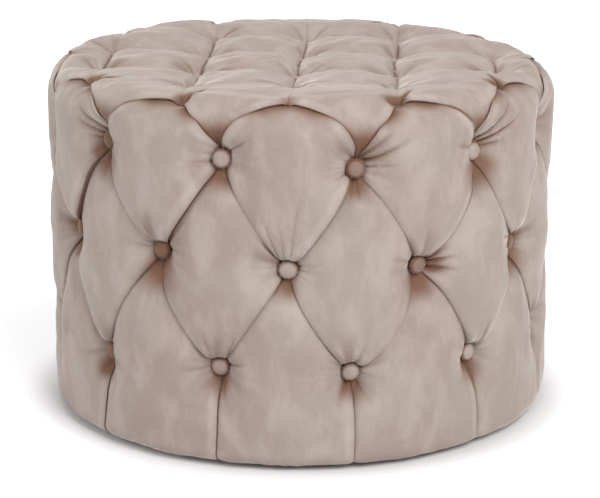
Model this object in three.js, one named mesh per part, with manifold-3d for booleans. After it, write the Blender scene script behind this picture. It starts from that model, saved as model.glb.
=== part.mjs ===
// A round deep-buttoned tuffet: a timber drum, padded with foam and covered with quilted velvet.
// Millimetres, +Z up. The origin is on the floor, under the middle of the seat; -Y is the front.

import * as THREE from 'three';
import { mergeVertices } from 'three/addons/utils/BufferGeometryUtils.js';
import Module from 'manifold-3d';

const wasm = await Module();
wasm.setup();

// Driving dimensions of the whole tuffet
const overallRadius = 300;
const overallHeight = 417;
const shoulderRadius = 42;
const hemRadius = 28;
const crown = 3;
const seatGap = 0.3;

// Layers of the padding, from the velvet inwards
const sideQuilt = 29;
const topQuilt = 20;
const squeezedQuilt = 3;
const hemThickness = 1.8;
const hemTurnIn = 25;
const sideFoamThickness = 24;
const topFoamThickness = 14;

// Timber drum
const wallThickness = 3;
const wallButtGap = 1;
const boardThickness = 15;
const postCount = 6;
const postWidth = 36;
const postDepth = 25;
const postInset = 7;

// Fastenings and feet
const screwLength = 40;
const screwRadius = 2;
const screwHeadRadius = 4.2;
const screwHeadHeight = 3;
const screwTipLength = 6;
const glideCount = 6;
const glideRadius = 12;
const glideHeight = 3.7;
const glideBevel = 1.2;
const glideInset = 50;
const glideNailRadius = 1.2;
const glideNailLength = 12;
const dustThickness = 0.6;
const dustOverlap = 12;

// Buttons and their twine
const buttonRadius = 11;
const buttonHeight = 10;
const buttonRimHeight = 6;
const buttonNeckHeight = 1.6;
const twineRadius = 1.2;
const twineClearance = 0.4;
const twineInset = 5;

// Counts and places of the tufting
const columns = 12;
const rowShares = [0.943, 0.613, 0.266];
const gridPitchShare = 0.473;
const gridRowShares = [0.5, 1.5];
const facetsPerColumn = 3;
const stepsPerRow = 3;
const gridSteps = 4;
const fastenerSides = 6;
const glideSides = 10;
const buttonSides = 8;
const twineSides = 5;
const holeSides = 4;
const creaseShare = 0.55;
const topCreaseShare = 0.45;
const pillowPower = 0.7;
const domeShares = [[1, 0], [0.72, 0.75], [0, 1]];
const hemFadeShares = [0.4, 0.7, 1];
const shoulderFadeShares = [0.75, 0.4, 0.15];

// Radii of the layers
const facets = columns * facetsPerColumn;
const coverInner = overallRadius - sideQuilt;
const foamOuter = coverInner - seatGap;
const foamInner = foamOuter - sideFoamThickness;
const wallOuter = foamInner - seatGap;
const wallInner = wallOuter - wallThickness;
const boardRadius = wallInner - seatGap;
const sideFloor = coverInner + squeezedQuilt;
const postRadius = boardRadius - postInset - postDepth / 2;
const twineCircle = wallInner - twineInset;

// Heights of the layers
const dustBottom = glideHeight + seatGap;
const hemBottom = dustBottom + dustThickness + seatGap;
const hemTop = hemBottom + hemThickness;
const baseBottom = hemTop + seatGap;
const baseTop = baseBottom + boardThickness;
const topPlane = overallHeight - crown;
const foamTop = topPlane - topQuilt - seatGap;
const foamBottom = foamTop - topFoamThickness;
const boardTop = foamBottom - seatGap;
const boardBottom = boardTop - boardThickness;
const jointHeight = topPlane - shoulderRadius;
const topFloorDepth = topQuilt - squeezedQuilt;

// The three button rows on the side, from the top down, and the square grid on the seat
const rowHeights = rowShares.map((share) => baseTop + share * (boardBottom - baseTop));
const [upperRow, middleRow, lowerRow] = rowHeights;
const columnAngle = (2 * Math.PI) / columns;
const gridPitch = gridPitchShare * boardRadius;

const materials = {
  velvet: new THREE.MeshStandardMaterial({ color: 0xb5a091, roughness: 0.85 }),
  foam: new THREE.MeshStandardMaterial({ color: 0xe6dfc6, roughness: 0.95 }),
  plywood: new THREE.MeshStandardMaterial({ color: 0xc9a878, roughness: 0.7 }),
  pine: new THREE.MeshStandardMaterial({ color: 0xd9bd8b, roughness: 0.7 }),
  hardboard: new THREE.MeshStandardMaterial({ color: 0x8a6a48, roughness: 0.8 }),
  dustCloth: new THREE.MeshStandardMaterial({ color: 0x2b2828, roughness: 0.95 }),
  plastic: new THREE.MeshStandardMaterial({ color: 0x3a3634, roughness: 0.5 }),
  steel: new THREE.MeshStandardMaterial({ color: 0xb9b9b4, roughness: 0.4, metalness: 1 }),
};

// Geometry to a solid for cutting and joining, and back

function toSolid(geometry) {
  const bare = geometry.clone();
  bare.deleteAttribute('normal');
  bare.deleteAttribute('uv');
  const merged = mergeVertices(bare);
  const vertProperties = new Float32Array(merged.attributes.position.array);
  const triVerts = new Uint32Array(merged.index.array);
  return new wasm.Manifold(new wasm.Mesh({ numProp: 3, vertProperties, triVerts }));
}

function toGeometry(solid) {
  const { vertProperties, triVerts, numProp } = solid.getMesh();
  const positions = new Float32Array((vertProperties.length / numProp) * 3);
  for (let i = 0; i * numProp < vertProperties.length; i += 1) {
    positions.set(vertProperties.subarray(i * numProp, i * numProp + 3), i * 3);
  }
  const geometry = new THREE.BufferGeometry();
  geometry.setAttribute('position', new THREE.BufferAttribute(positions, 3));
  geometry.setIndex(new THREE.BufferAttribute(new Uint32Array(triVerts), 1));
  geometry.computeVertexNormals();
  return geometry;
}

const tuffet = new THREE.Group();

function addPiece(name, solid, material) {
  const piece = new THREE.Mesh(toGeometry(solid), material);
  piece.name = name;
  tuffet.add(piece);
}

// Shapes turned about the upright axis: angle 0 is the front, and angles grow towards +X

function turned(profile, sides) {
  const points = profile.map(([radius, height]) => new THREE.Vector2(radius, height));
  return new THREE.LatheGeometry(points, sides).rotateX(Math.PI / 2);
}

function disc(radius, bottom, top, sides = facets) {
  return toSolid(turned([[0, bottom], [radius, bottom], [radius, top], [0, top]], sides));
}

function hoop(inner, outer, bottom, top) {
  const profile = [[inner, bottom], [outer, bottom], [outer, top], [inner, top], [inner, bottom]];
  return toSolid(turned(profile, facets));
}

function pointAt(angle, radius, height) {
  return new THREE.Vector3(radius * Math.sin(angle), -radius * Math.cos(angle), height);
}

// A round rod between two points
function rod(start, end, radius, sides = twineSides) {
  const along = end.clone().sub(start);
  const geometry = new THREE.CylinderGeometry(radius, radius, along.length(), sides);
  const turn = new THREE.Quaternion().setFromUnitVectors(new THREE.Vector3(0, 1, 0), along.normalize());
  const middle = start.clone().add(end).multiplyScalar(0.5);
  return toSolid(geometry.applyQuaternion(turn).translate(middle.x, middle.y, middle.z));
}

function cutAll(solid, cutters) {
  return cutters.reduce((rest, cutter) => rest.subtract(cutter), solid);
}

// Places of the buttons: two rows line up in columns, and the middle row stands between them

const columnAngles = Array.from({ length: columns }, (_, i) => (i + 0.5) * columnAngle);
const middleAngles = Array.from({ length: columns }, (_, i) => i * columnAngle);
const sideButtons = [
  ...columnAngles.map((angle) => ({ angle, height: upperRow })),
  ...middleAngles.map((angle) => ({ angle, height: middleRow })),
  ...columnAngles.map((angle) => ({ angle, height: lowerRow })),
];

// The seat's grid: lines run front to back, and the outermost two have one button on each half
const gridLines = [-2, -1, 0, 1, 2].map((line) => {
  const rows = Math.abs(line) === 2 ? gridRowShares.slice(0, 1) : gridRowShares;
  const places = [...rows.map((row) => -row).reverse(), ...rows];
  return places.map((row) => ({ x: line * gridPitch, y: row * gridPitch }));
});

// Height of the seat's smooth crest above the floor at a distance from the middle
function crestHeight(distance) {
  const flatRadius = overallRadius - shoulderRadius;
  return topPlane + crown * (1 - (distance / flatRadius) ** 2);
}

// How far a place on a quilted surface is drawn in: 1 at a button, creaseDepth along a crease's
// middle and 0 on the crest of a cell. The two numbers count cells across the two crease families.
function drawnIn(across, along, creaseDepth) {
  const a = Math.abs(Math.sin(Math.PI * across));
  const b = Math.abs(Math.sin(Math.PI * along));
  const crease = creaseDepth * (1 - Math.min(a, b) ** pillowPower);
  return crease + (1 - creaseDepth) * (1 - Math.max(a, b)) ** 2;
}

// On the side the creases are the diamonds' edges; past the outer rows they run straight on
function sideDrawnIn(angle, height) {
  const span = height > middleRow ? upperRow - middleRow : middleRow - lowerRow;
  const climb = THREE.MathUtils.clamp((height - middleRow) / span, -1, 1) / 2;
  const column = angle / columnAngle;
  return drawnIn(column + climb, column - climb, creaseShare);
}

// On the shoulder the velvet comes down in a broad lap to each button of the upper row
function shoulderDrawnIn(angle) {
  return Math.sin((Math.PI * angle) / columnAngle) ** 2;
}

// A ring of points on the side's velvet. Every other ring is turned by half a facet, so that the
// creases run along the edges of the facets.
function velvetRing(radius, height, turnedHalf, fade) {
  return Array.from({ length: facets }, (_, i) => {
    const angle = ((i + (turnedHalf ? 0.5 : 0)) * 2 * Math.PI) / facets;
    const onShoulder = height > upperRow + buttonRadius;
    const share = onShoulder ? shoulderDrawnIn(angle) : sideDrawnIn(angle, height);
    return pointAt(angle, radius - (overallRadius - sideFloor) * fade * share, height);
  });
}

// Skin between neighbouring rings. Where only the lower one is turned by half a facet, each facet's
// diagonal leans the other way.
function bridge(faces, lower, upper, lowerTurned, upperTurned) {
  for (let i = 0; i < facets; i += 1) {
    const next = (i + 1) % facets;
    const [a, b, c, d] = [lower + i, lower + next, upper + i, upper + next];
    if (lowerTurned && !upperTurned) {
      faces.push(a, b, d, a, d, c);
    } else {
      faces.push(a, b, c, b, d, c);
    }
  }
}

// A solid from rings that follow its section all the way round, or that end in two caps
function ringSolid(rings, closedSection) {
  const points = rings.flatMap((ring) => ring.points);
  const faces = [];
  for (let r = 0; r < rings.length - (closedSection ? 0 : 1); r += 1) {
    const above = (r + 1) % rings.length;
    bridge(faces, r * facets, above * facets, rings[r].turnedHalf, rings[above].turnedHalf);
  }
  if (!closedSection) {
    const first = points.length;
    const last = (rings.length - 1) * facets;
    points.push(new THREE.Vector3(0, 0, rings[0].points[0].z));
    points.push(new THREE.Vector3(0, 0, rings[rings.length - 1].points[0].z));
    for (let i = 0; i < facets; i += 1) {
      const next = (i + 1) % facets;
      faces.push(first, next, i, first + 1, last + i, last + next);
    }
  }
  const geometry = new THREE.BufferGeometry().setFromPoints(points);
  geometry.setIndex(faces);
  return toSolid(geometry);
}

const ring = (radius, height, turnedHalf = false, fade = 0) => ({
  points: velvetRing(radius, height, turnedHalf, fade),
  turnedHalf,
});

// Holes for the twine, cut with a square needle

const holeRadius = (twineRadius + twineClearance) / Math.cos(Math.PI / holeSides);
const sideHoles = sideButtons.map(({ angle, height }) =>
  rod(
    pointAt(angle, wallInner - wallThickness, height),
    pointAt(angle, overallRadius, height),
    holeRadius,
    holeSides,
  ),
);
const topHoles = gridLines.flat().map(({ x, y }) =>
  rod(
    new THREE.Vector3(x, y, boardBottom - boardThickness),
    new THREE.Vector3(x, y, overallHeight),
    holeRadius,
    holeSides,
  ),
);

// Velvet round the side, quilted on wadding: it turns under the drum at the hem and ends under
// the shoulder, where the seat's velvet takes over.
function sideCover() {
  const hemCentre = overallRadius - hemRadius;
  const hemArc = [1, 2].map((step, i) => {
    const turn = (step * Math.PI) / 4;
    const radius = hemCentre + hemRadius * Math.sin(turn);
    return ring(radius, hemBottom + hemRadius * (1 - Math.cos(turn)), i === 0, hemFadeShares[i]);
  });
  const steps = Array.from({ length: 2 * stepsPerRow + 1 }, (_, i) => {
    const share = i / stepsPerRow - 1;
    const span = share > 0 ? upperRow - middleRow : middleRow - lowerRow;
    return ring(overallRadius, middleRow + share * span, i % 2 === 0, 1);
  });
  const halfHem = (hemBottom + hemRadius + lowerRow) / 2;
  const top = jointHeight - seatGap;
  const innerHem = boardRadius - hemTurnIn;
  const rings = [
    ring(innerHem, hemTop),
    ring(innerHem, hemBottom),
    ring(hemCentre, hemBottom),
    ...hemArc,
    ring(overallRadius, halfHem, false, hemFadeShares[2]),
    ...steps,
    ring(overallRadius, top, false, shoulderFadeShares[0]),
    ring(coverInner, top),
    ring(coverInner, hemTop),
  ];
  return cutAll(ringSolid(rings, true), sideHoles);
}

// The seat's cushion as a grid of points, drawn in along the lines and rows of the square grid
function seatPillows(bottom) {
  const step = gridPitch / gridSteps;
  const reach = Math.ceil(overallRadius / step);
  const count = 2 * reach + 1;
  const points = [];
  for (let j = -reach; j <= reach; j += 1) {
    for (let i = -reach; i <= reach; i += 1) {
      const [x, y] = [i * step, j * step];
      const depth = topFloorDepth * drawnIn(x / gridPitch, y / gridPitch + gridRowShares[0], topCreaseShare);
      points.push(new THREE.Vector3(x, y, crestHeight(Math.hypot(x, y)) - depth));
    }
  }
  points.push(...points.map((point) => new THREE.Vector3(point.x, point.y, bottom)));
  const faces = [];
  const under = count * count;
  for (let j = 0; j + 1 < count; j += 1) {
    for (let i = 0; i + 1 < count; i += 1) {
      const a = j * count + i;
      const [b, c, d] = [a + 1, a + count, a + count + 1];
      const falling = (i + j) % 2 === 0;
      faces.push(...(falling ? [a, b, d, a, d, c] : [a, b, c, b, d, c]));
      faces.push(a + under, c + under, b + under, b + under, c + under, d + under);
    }
  }
  const edge = [];
  for (let i = 0; i + 1 < count; i += 1) edge.push(i);
  for (let j = 0; j + 1 < count; j += 1) edge.push(j * count + count - 1);
  for (let i = count - 1; i > 0; i -= 1) edge.push((count - 1) * count + i);
  for (let j = count - 1; j > 0; j -= 1) edge.push(j * count);
  edge.forEach((from, i) => {
    const to = edge[(i + 1) % edge.length];
    faces.push(from, from + under, to + under, from, to + under, to);
  });
  const geometry = new THREE.BufferGeometry().setFromPoints(points);
  geometry.setIndex(faces);
  return toSolid(geometry);
}

// Velvet over the seat, quilted on wadding, with the round shoulder
function topCover() {
  const arcCentre = overallRadius - shoulderRadius;
  const arcSteps = shoulderFadeShares.length;
  const arc = shoulderFadeShares.map((fade, i) => {
    const turn = (i * Math.PI) / 2 / arcSteps;
    const height = jointHeight + shoulderRadius * Math.sin(turn);
    return ring(arcCentre + shoulderRadius * Math.cos(turn), height, i % 2 === 1, fade);
  });
  const shoulder = ringSolid([...arc, ring(arcCentre, topPlane), ring(arcCentre / 2, overallHeight)], false);
  const pocket = disc(coverInner, jointHeight - shoulderRadius, foamTop + seatGap);
  const cushion = shoulder.intersect(seatPillows(jointHeight - shoulderRadius));
  return cutAll(cushion, [pocket, ...topHoles]);
}

// A screw or its hole, pointing up from a height; grown is the hole's clearance
function screw(x, y, headHeight, pointsUp, grown = 0) {
  const sign = pointsUp ? 1 : -1;
  const profile = [
    [0, -grown],
    [screwHeadRadius + grown, -grown],
    [screwRadius + grown, screwHeadHeight + grown],
    [screwRadius + grown, screwLength - screwTipLength],
    [0, screwLength + grown],
  ];
  const placed = profile.map(([radius, height]) => [radius, headHeight + sign * height]);
  const geometry = turned(pointsUp ? placed : placed.reverse(), fastenerSides);
  return toSolid(geometry.translate(x, y, 0));
}

const postAngles = Array.from({ length: postCount }, (_, i) => ((i + 1 / 8) * 2 * Math.PI) / postCount);
const postPlaces = postAngles.map((angle) => pointAt(angle, postRadius, baseBottom));
const glidePlaces = Array.from({ length: glideCount }, (_, i) =>
  pointAt(((i + 5 / 8) * 2 * Math.PI) / glideCount, boardRadius - glideInset, dustBottom),
);
const lowerScrewHoles = postPlaces.map(({ x, y }) => screw(x, y, baseBottom + seatGap, true, seatGap));
const upperScrewHoles = postPlaces.map(({ x, y }) => screw(x, y, boardTop - seatGap, false, seatGap));

// Posts between the two boards, each held by a screw at either end
function post(i) {
  const geometry = new THREE.BoxGeometry(postWidth, postDepth, boardBottom - baseTop - 2 * seatGap);
  geometry.translate(0, -postRadius, (baseTop + boardBottom) / 2).rotateZ(postAngles[i]);
  return cutAll(toSolid(geometry), [lowerScrewHoles[i], upperScrewHoles[i]]);
}

// The drum's wall is one strip of hardboard bent round the boards, its ends butting at the back
function drumWall() {
  const strip = hoop(wallInner, wallOuter, baseBottom, boardTop);
  const butt = new THREE.BoxGeometry(wallButtGap, 2 * wallThickness + wallButtGap, 2 * overallHeight);
  const buttAngle = Math.PI + columnAngle / 4;
  butt.translate(0, -(wallInner + wallOuter) / 2, 0).rotateZ(buttAngle);
  return cutAll(strip, [toSolid(butt), ...sideHoles]);
}

// Nail-on glide: a low puck with a nail into the base board
function glide(place, grown = 0) {
  const nailTop = glideHeight + glideNailLength + grown;
  const profile = grown
    ? [[0, 0], [glideNailRadius + grown, 0], [glideNailRadius + grown, nailTop], [0, nailTop]]
    : [
        [0, 0],
        [glideRadius - glideBevel, 0],
        [glideRadius, glideBevel],
        [glideRadius, glideHeight],
        [glideNailRadius, glideHeight],
        [glideNailRadius, nailTop],
        [0, nailTop],
      ];
  return toSolid(turned(profile, glideSides).translate(place.x, place.y, 0));
}

const nailHoles = glidePlaces.map((place) => glide(place, seatGap));

// Covered button, standing on +Y: a dome over a back that tapers to the twine
function button() {
  const domeHeight = buttonHeight - buttonRimHeight;
  const dome = domeShares.map(([radius, height]) => [
    radius * buttonRadius,
    buttonRimHeight + height * domeHeight,
  ]);
  const profile = [[0, buttonNeckHeight], ...dome];
  return new THREE.LatheGeometry(profile.map(([r, h]) => new THREE.Vector2(r, h)), buttonSides);
}

// Button on the side with its twine as far as the twine circle inside the wall
function sideButton(angle, height) {
  const head = button().translate(0, sideFloor + seatGap, 0).rotateZ(angle + Math.PI).translate(0, 0, height);
  const shankEnd = pointAt(angle, sideFloor + buttonRimHeight, height);
  const shank = rod(pointAt(angle, twineCircle - twineRadius, height), shankEnd, twineRadius);
  return toSolid(head).add(shank);
}

// Upper and lower button of one column, tied together inside the drum
function columnPair(angle) {
  const knot = rod(
    pointAt(angle, twineCircle, lowerRow - twineRadius),
    pointAt(angle, twineCircle, upperRow + twineRadius),
    twineRadius,
  );
  return sideButton(angle, upperRow).add(sideButton(angle, lowerRow)).add(knot);
}

// Two neighbouring buttons of the middle row, tied together inside the drum
function middlePair(angle) {
  const [start, end] = [angle, angle + columnAngle].map((turn) => pointAt(turn, twineCircle, middleRow));
  const reach = end.clone().sub(start).setLength(twineRadius / 2);
  const knot = rod(start.clone().sub(reach), end.clone().add(reach), twineRadius);
  return sideButton(angle, middleRow).add(sideButton(angle + columnAngle, middleRow)).add(knot);
}

// The seat's buttons along one line of the grid, tied together under the top board
function seatLine(places) {
  const runHeight = boardBottom - twineInset;
  const heads = places.map(({ x, y }) => {
    const floor = crestHeight(Math.hypot(x, y)) - topFloorDepth;
    const head = button().rotateX(Math.PI / 2).translate(x, y, floor + seatGap);
    const shankTop = new THREE.Vector3(x, y, floor + buttonRimHeight);
    const shank = rod(new THREE.Vector3(x, y, runHeight - twineRadius), shankTop, twineRadius);
    return toSolid(head).add(shank);
  });
  const [first, last] = [places[0], places[places.length - 1]];
  const run = rod(
    new THREE.Vector3(first.x, first.y - twineRadius, runHeight),
    new THREE.Vector3(last.x, last.y + twineRadius, runHeight),
    twineRadius,
  );
  return heads.reduce((joined, head) => joined.add(head), run);
}

// Velvet and padding
addPiece('side_cover', sideCover(), materials.velvet);
addPiece('top_cover', topCover(), materials.velvet);
addPiece('side_foam', cutAll(hoop(foamInner, foamOuter, baseBottom, boardTop), sideHoles), materials.foam);
addPiece('top_foam', cutAll(disc(foamOuter, foamBottom, foamTop), topHoles), materials.foam);

// Drum
addPiece('drum_wall', drumWall(), materials.hardboard);
addPiece(
  'top_board',
  cutAll(disc(boardRadius, boardBottom, boardTop), [...topHoles, ...upperScrewHoles]),
  materials.plywood,
);
addPiece(
  'base_board',
  cutAll(disc(boardRadius, baseBottom, baseTop), [...nailHoles, ...lowerScrewHoles]),
  materials.plywood,
);
addPiece(
  'dust_cover',
  cutAll(disc(boardRadius + dustOverlap, dustBottom, dustBottom + dustThickness), nailHoles),
  materials.dustCloth,
);
postPlaces.forEach(({ x, y }, i) => {
  addPiece(`post_${i + 1}`, post(i), materials.pine);
  addPiece(`lower_screw_${i + 1}`, screw(x, y, baseBottom + seatGap, true), materials.steel);
  addPiece(`upper_screw_${i + 1}`, screw(x, y, boardTop - seatGap, false), materials.steel);
});
glidePlaces.forEach((place, i) => addPiece(`glide_${i + 1}`, glide(place), materials.plastic));

// Buttons
columnAngles.forEach((angle, i) => addPiece(`column_buttons_${i + 1}`, columnPair(angle), materials.velvet));
for (let i = 1; i < columns; i += 2) {
  addPiece(`middle_buttons_${(i + 1) / 2}`, middlePair(middleAngles[i]), materials.velvet);
}
gridLines.forEach((places, i) => addPiece(`seat_buttons_${i + 1}`, seatLine(places), materials.velvet));

export default tuffet;
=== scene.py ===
import math
import random

import bmesh
import bpy
import numpy as np
from mathutils import Matrix, Vector


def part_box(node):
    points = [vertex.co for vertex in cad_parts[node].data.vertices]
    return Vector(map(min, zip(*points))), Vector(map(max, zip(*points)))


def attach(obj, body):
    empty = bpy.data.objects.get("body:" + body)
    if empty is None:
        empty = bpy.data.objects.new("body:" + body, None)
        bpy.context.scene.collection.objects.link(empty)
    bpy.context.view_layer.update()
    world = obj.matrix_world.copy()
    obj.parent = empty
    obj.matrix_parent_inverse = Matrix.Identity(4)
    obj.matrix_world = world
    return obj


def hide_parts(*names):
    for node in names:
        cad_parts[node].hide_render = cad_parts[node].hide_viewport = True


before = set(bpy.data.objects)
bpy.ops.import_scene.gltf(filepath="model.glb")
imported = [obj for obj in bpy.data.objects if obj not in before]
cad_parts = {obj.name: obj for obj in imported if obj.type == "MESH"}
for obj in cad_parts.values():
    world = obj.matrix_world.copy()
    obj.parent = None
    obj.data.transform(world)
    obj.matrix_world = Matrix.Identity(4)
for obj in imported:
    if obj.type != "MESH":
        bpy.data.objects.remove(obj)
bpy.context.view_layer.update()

# Round deep-buttoned velvet tuffet. Metres, +Z up, the origin on the floor under the middle of the seat.
# Turns are angles about the upright axis: 0 is the front (-Y), and they grow towards +X.

scene = bpy.context.scene
tiny = 1e-9                    # a length under this counts as none


# Sizes taken from the frame

def middleOf(node):
    low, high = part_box(node)
    return (low + high) / 2


sideLow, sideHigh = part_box("side_cover")
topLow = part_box("top_cover")[0]
middleLow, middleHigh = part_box("middle_buttons_1")
columnLow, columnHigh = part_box("column_buttons_1")
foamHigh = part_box("top_foam")[1]

outerRadius = sideHigh.x
girth = 2 * math.pi * outerRadius
hemBottom = sideLow.z
jointHeight = topLow.z
buttonHalf = (middleHigh.z - middleLow.z) / 2
middleRow = (middleHigh.z + middleLow.z) / 2
upperRow = columnHigh.z - buttonHalf
lowerRow = columnLow.z + buttonHalf
gridPitch = (middleOf("seat_buttons_5").x - middleOf("seat_buttons_1").x) / 4

form = {
    "columns": 12,
    "shoulderRadius": 0.042,
    "hemRadius": 0.014,
    "hemInner": 0.2181,        # radius at which the velvet's turned-in edge ends
    "hemThickness": 0.0018,
    "crown": -0.0030,          # the seat sags a little under its flat form
    "crownPower": 1.2,
    "wallRadius": 0.2713,      # inner face of the quilted velvet
    "ceilingGap": 0.0004,      # from the seat's foam up to the quilted velvet
    "archTurn": 1.25,          # how far up the shoulder the scallops reach, in radians
    "swell": 0.0005,           # how far the wadding swells the middle of a cell past the form,
    "swellDepth": 0.010,       # which it does where the velvet is drawn in by less than this
    "seamGap": 0.0003,
}
columnTurn = 2 * math.pi / form["columns"]
shoulderCentre = outerRadius - form["shoulderRadius"]
shoulderLength = form["shoulderRadius"] * math.pi / 2
hemCentre = hemBottom + form["hemRadius"]
hemTurnIn = outerRadius - form["hemRadius"] - form["hemInner"]
hemEnd = hemCentre - form["hemRadius"] * math.pi / 2 - hemTurnIn
archTop = jointHeight + form["shoulderRadius"] * form["archTurn"]
seatEdge = jointHeight + shoulderLength
unrolledEdge = shoulderCentre + shoulderLength


# The smooth form of the cover, without its creases

def smoothForm(run):
    # radius, height and outward normal at a distance along the section, which is the height on the side
    hemTurn = np.clip((hemCentre - run) / form["hemRadius"], 0, math.pi / 2)
    turnIn = np.maximum(hemCentre - form["hemRadius"] * math.pi / 2 - run, 0)
    turn = np.clip((run - jointHeight) / form["shoulderRadius"], 0, math.pi / 2)
    inward = np.maximum(run - seatEdge, 0)
    share = np.clip((shoulderCentre - inward) / shoulderCentre, 0, 1)
    bowl = np.maximum(1 - share ** 2, 0)
    power = form["crownPower"]
    rise = form["crown"] * bowl ** power
    slope = 2 * form["crown"] * power * bowl ** (power - 1) * share / shoulderCentre
    radius = outerRadius - form["hemRadius"] * (1 - np.cos(hemTurn)) - turnIn
    radius = radius - form["shoulderRadius"] * (1 - np.cos(turn)) - inward
    height = np.clip(run, hemCentre, jointHeight) - form["hemRadius"] * np.sin(hemTurn)
    height = height + form["shoulderRadius"] * np.sin(turn) + rise
    normalOut = np.cos(turn) * np.cos(hemTurn)
    normalUp = np.sin(turn) - np.sin(hemTurn)
    normalOut = np.where(inward > 0, slope, normalOut)
    length = np.hypot(normalOut, normalUp)
    return radius, height, normalOut / length, normalUp / length


def wrap(turn, run, depth):
    radius, height, normalOut, normalUp = smoothForm(run)
    radius = radius - depth * normalOut
    height = height - depth * normalUp
    return np.column_stack([radius * np.sin(turn), -radius * np.cos(turn), height])


def turned(turn, radius, height):
    return Vector((radius * math.sin(turn), -radius * math.cos(turn), height))


# Curves on the unrolled cover

def lengthOf(vectors):
    return np.hypot(vectors[..., 0], vectors[..., 1])


def along(points, shares):
    steps = lengthOf(np.diff(points, axis=0))
    run = np.concatenate([[0], np.cumsum(steps)]) / steps.sum()
    return np.column_stack([np.interp(shares, run, points[:, i]) for i in (0, 1)])


def bowed(start, end, bow, hand, skew=1.0, count=33):
    start = np.array(start, float)
    way = np.array(end, float) - start
    t = np.linspace(0, 1, count)[:, None]
    across = np.array([-way[1], way[0]]) * hand / np.hypot(*way)
    return start + t * way + bow * np.sin(math.pi * t ** skew) * across


def nearest(points, line):
    # distance, side (positive on the left of the line), share along it, and the way there from the line
    starts, ways = line[:-1], np.diff(line, axis=0)
    lengths = lengthOf(ways)
    ahead = ways / lengths[:, None]
    offset = points[:, None, :] - starts[None, :, :]
    run = np.clip(np.einsum("ijk,jk->ij", offset, ahead), 0, lengths[None, :])
    gap = offset - run[:, :, None] * ahead[None, :, :]
    distance = lengthOf(gap)
    best = distance.argmin(1)
    rows = np.arange(len(points))
    gap, distance = gap[rows, best], distance[rows, best]
    cross = ahead[best, 0] * gap[:, 1] - ahead[best, 1] * gap[:, 0]
    side = np.divide(cross, distance, out=np.zeros_like(cross), where=distance > tiny)
    before = np.concatenate([[0], np.cumsum(lengths)])[best]
    share = (before + run[rows, best]) / lengths.sum()
    return distance, side, share, gap


def smoothStep(x, low, high):
    t = np.clip((x - low) / (high - low), 0, 1)
    return t * t * (3 - 2 * t)


def bell(distance, width):
    return np.exp(-(distance / width) ** 2)


def towardsEnds(share, power):
    # 0 in the middle of a crease and 1 at both ends
    return np.abs(2 * share - 1) ** power


def boxRound(line, points, reach):
    # which points are in the box round a line
    return np.all((points > line.min(0) - reach) & (points < line.max(0) + reach), axis=1)


def roundShifts(period):
    # a closed cover is met again one period further to either side
    return (-period, 0, period) if period else (0,)


def rayParts(away, turn):
    # how far points lie along a ray, and aside of it
    return away @ [math.cos(turn), math.sin(turn)], away @ [-math.sin(turn), math.cos(turn)]


# Sections across a crease: x is the distance from its bottom, and 1 is its full depth

crease = {
    "reach": 0.066,
    "proudReach": 0.042,
    "proudPower": 1.5,
    "gentlePower": 2.0,
    "softPower": 3.2,
    "lap": 0.0054,             # how far a proud cell leans over its crease
    "lapAt": 0.0040,
    "sumPower": 3.0,
    "sideMiddle": 0.0140,
    "softShare": 0.5,          # share of that depth which a soft crease has in its middle
    "pleatMiddle": 0.0070,
    "pleatReach": 0.027,
    "pleatEnd": 0.0035,
    "pleatPower": 5,
    "archMiddle": 0.0055,
    "rimMiddle": 0.0010,
    "seatRowMiddle": 0.0115,
    "seatLineMiddle": 0.0140,
    "seatDepth": 0.0175,
    "seatReach": 0.059,
    "seatPower": 1.75,
    "frontRow": 0.22,          # the seat's front row is drawn in less than the others
    "slit": 0.34,              # share of a seat line's depth that is a narrow slit
    "slitWidth": 0.0028,
    "lineStart": 0.0012,       # the painted shadow line runs up the edge of a lap to here,
    "lineFurther": 0.0044,     # and further where the lap is turned away from the front
    "lineWidth": 0.0014,
    "lineSpread": 0.9,
    "seatLineWidth": 0.0015,
    "lineEnds": 0.6,
    "fadeIn": 0.14,            # share of a crease over which its lap grows at a free end
    "highlightAt": 0.0085,         # the painted highlight on the rim of a lap
    "highlightWidth": 0.0042,
    "underReach": 0.0045,
    "eyePitch": 0.28,          # how steeply the front is looked down on, in radians
    "turnedFrom": (0.12, 0.60),
    "endPower": 3.0,           # how quickly the depth, the lap and the painted shadow line grow towards the ends
    "crispPower": 2,
    "linePower": 3,
    "changeOver": (0.45, 0.75),    # up a scallop, where the seat's velvet becomes the one that laps over
}


def proudSection(x):
    inside = np.clip(1 - x / crease["proudReach"], 0, 1)
    return (1 - np.sqrt(np.maximum(1 - inside ** 2, 0))) ** crease["proudPower"]


def gentleSection(x, reach):
    return np.clip(1 - x / reach, 0, 1) ** crease["gentlePower"]


def softSection(x, reach):
    return np.clip(1 - x / reach, 0, 1) ** crease["softPower"]


def lapShape(x):
    step = x / crease["lapAt"]
    return step * np.exp(1 - step)


# Where the side's buttons sit, with the small errors of hand work

tuft = {
    "depth": 0.026,
    "flat": 0.0092,
    "reach": 0.0050,
    "below": 0.0120,
    "above": 0.0110,
    "power": 1.6,
    "seatDepth": 0.0215,       # the seat's velvet closes over the edge of its buttons
    "seatFlat": 0.0062,
    "seatReach": 0.0040,
    "nearby": 0.12,            # no button is felt further away than this
    "capPower": 5,             # how sharply the depth stops at its limit,
    "capEnds": (0.005, 0.035),     # which passes from the seat's to the side's over the shoulder
    "hemShare": 0.15,          # share of its depth that a crease keeps at the hem
    "hemEnds": (0.030, 0.020),     # it grows from this far past the edge to this far over the hem
    "seed": 3,
    "error": 0.003,
}
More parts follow.
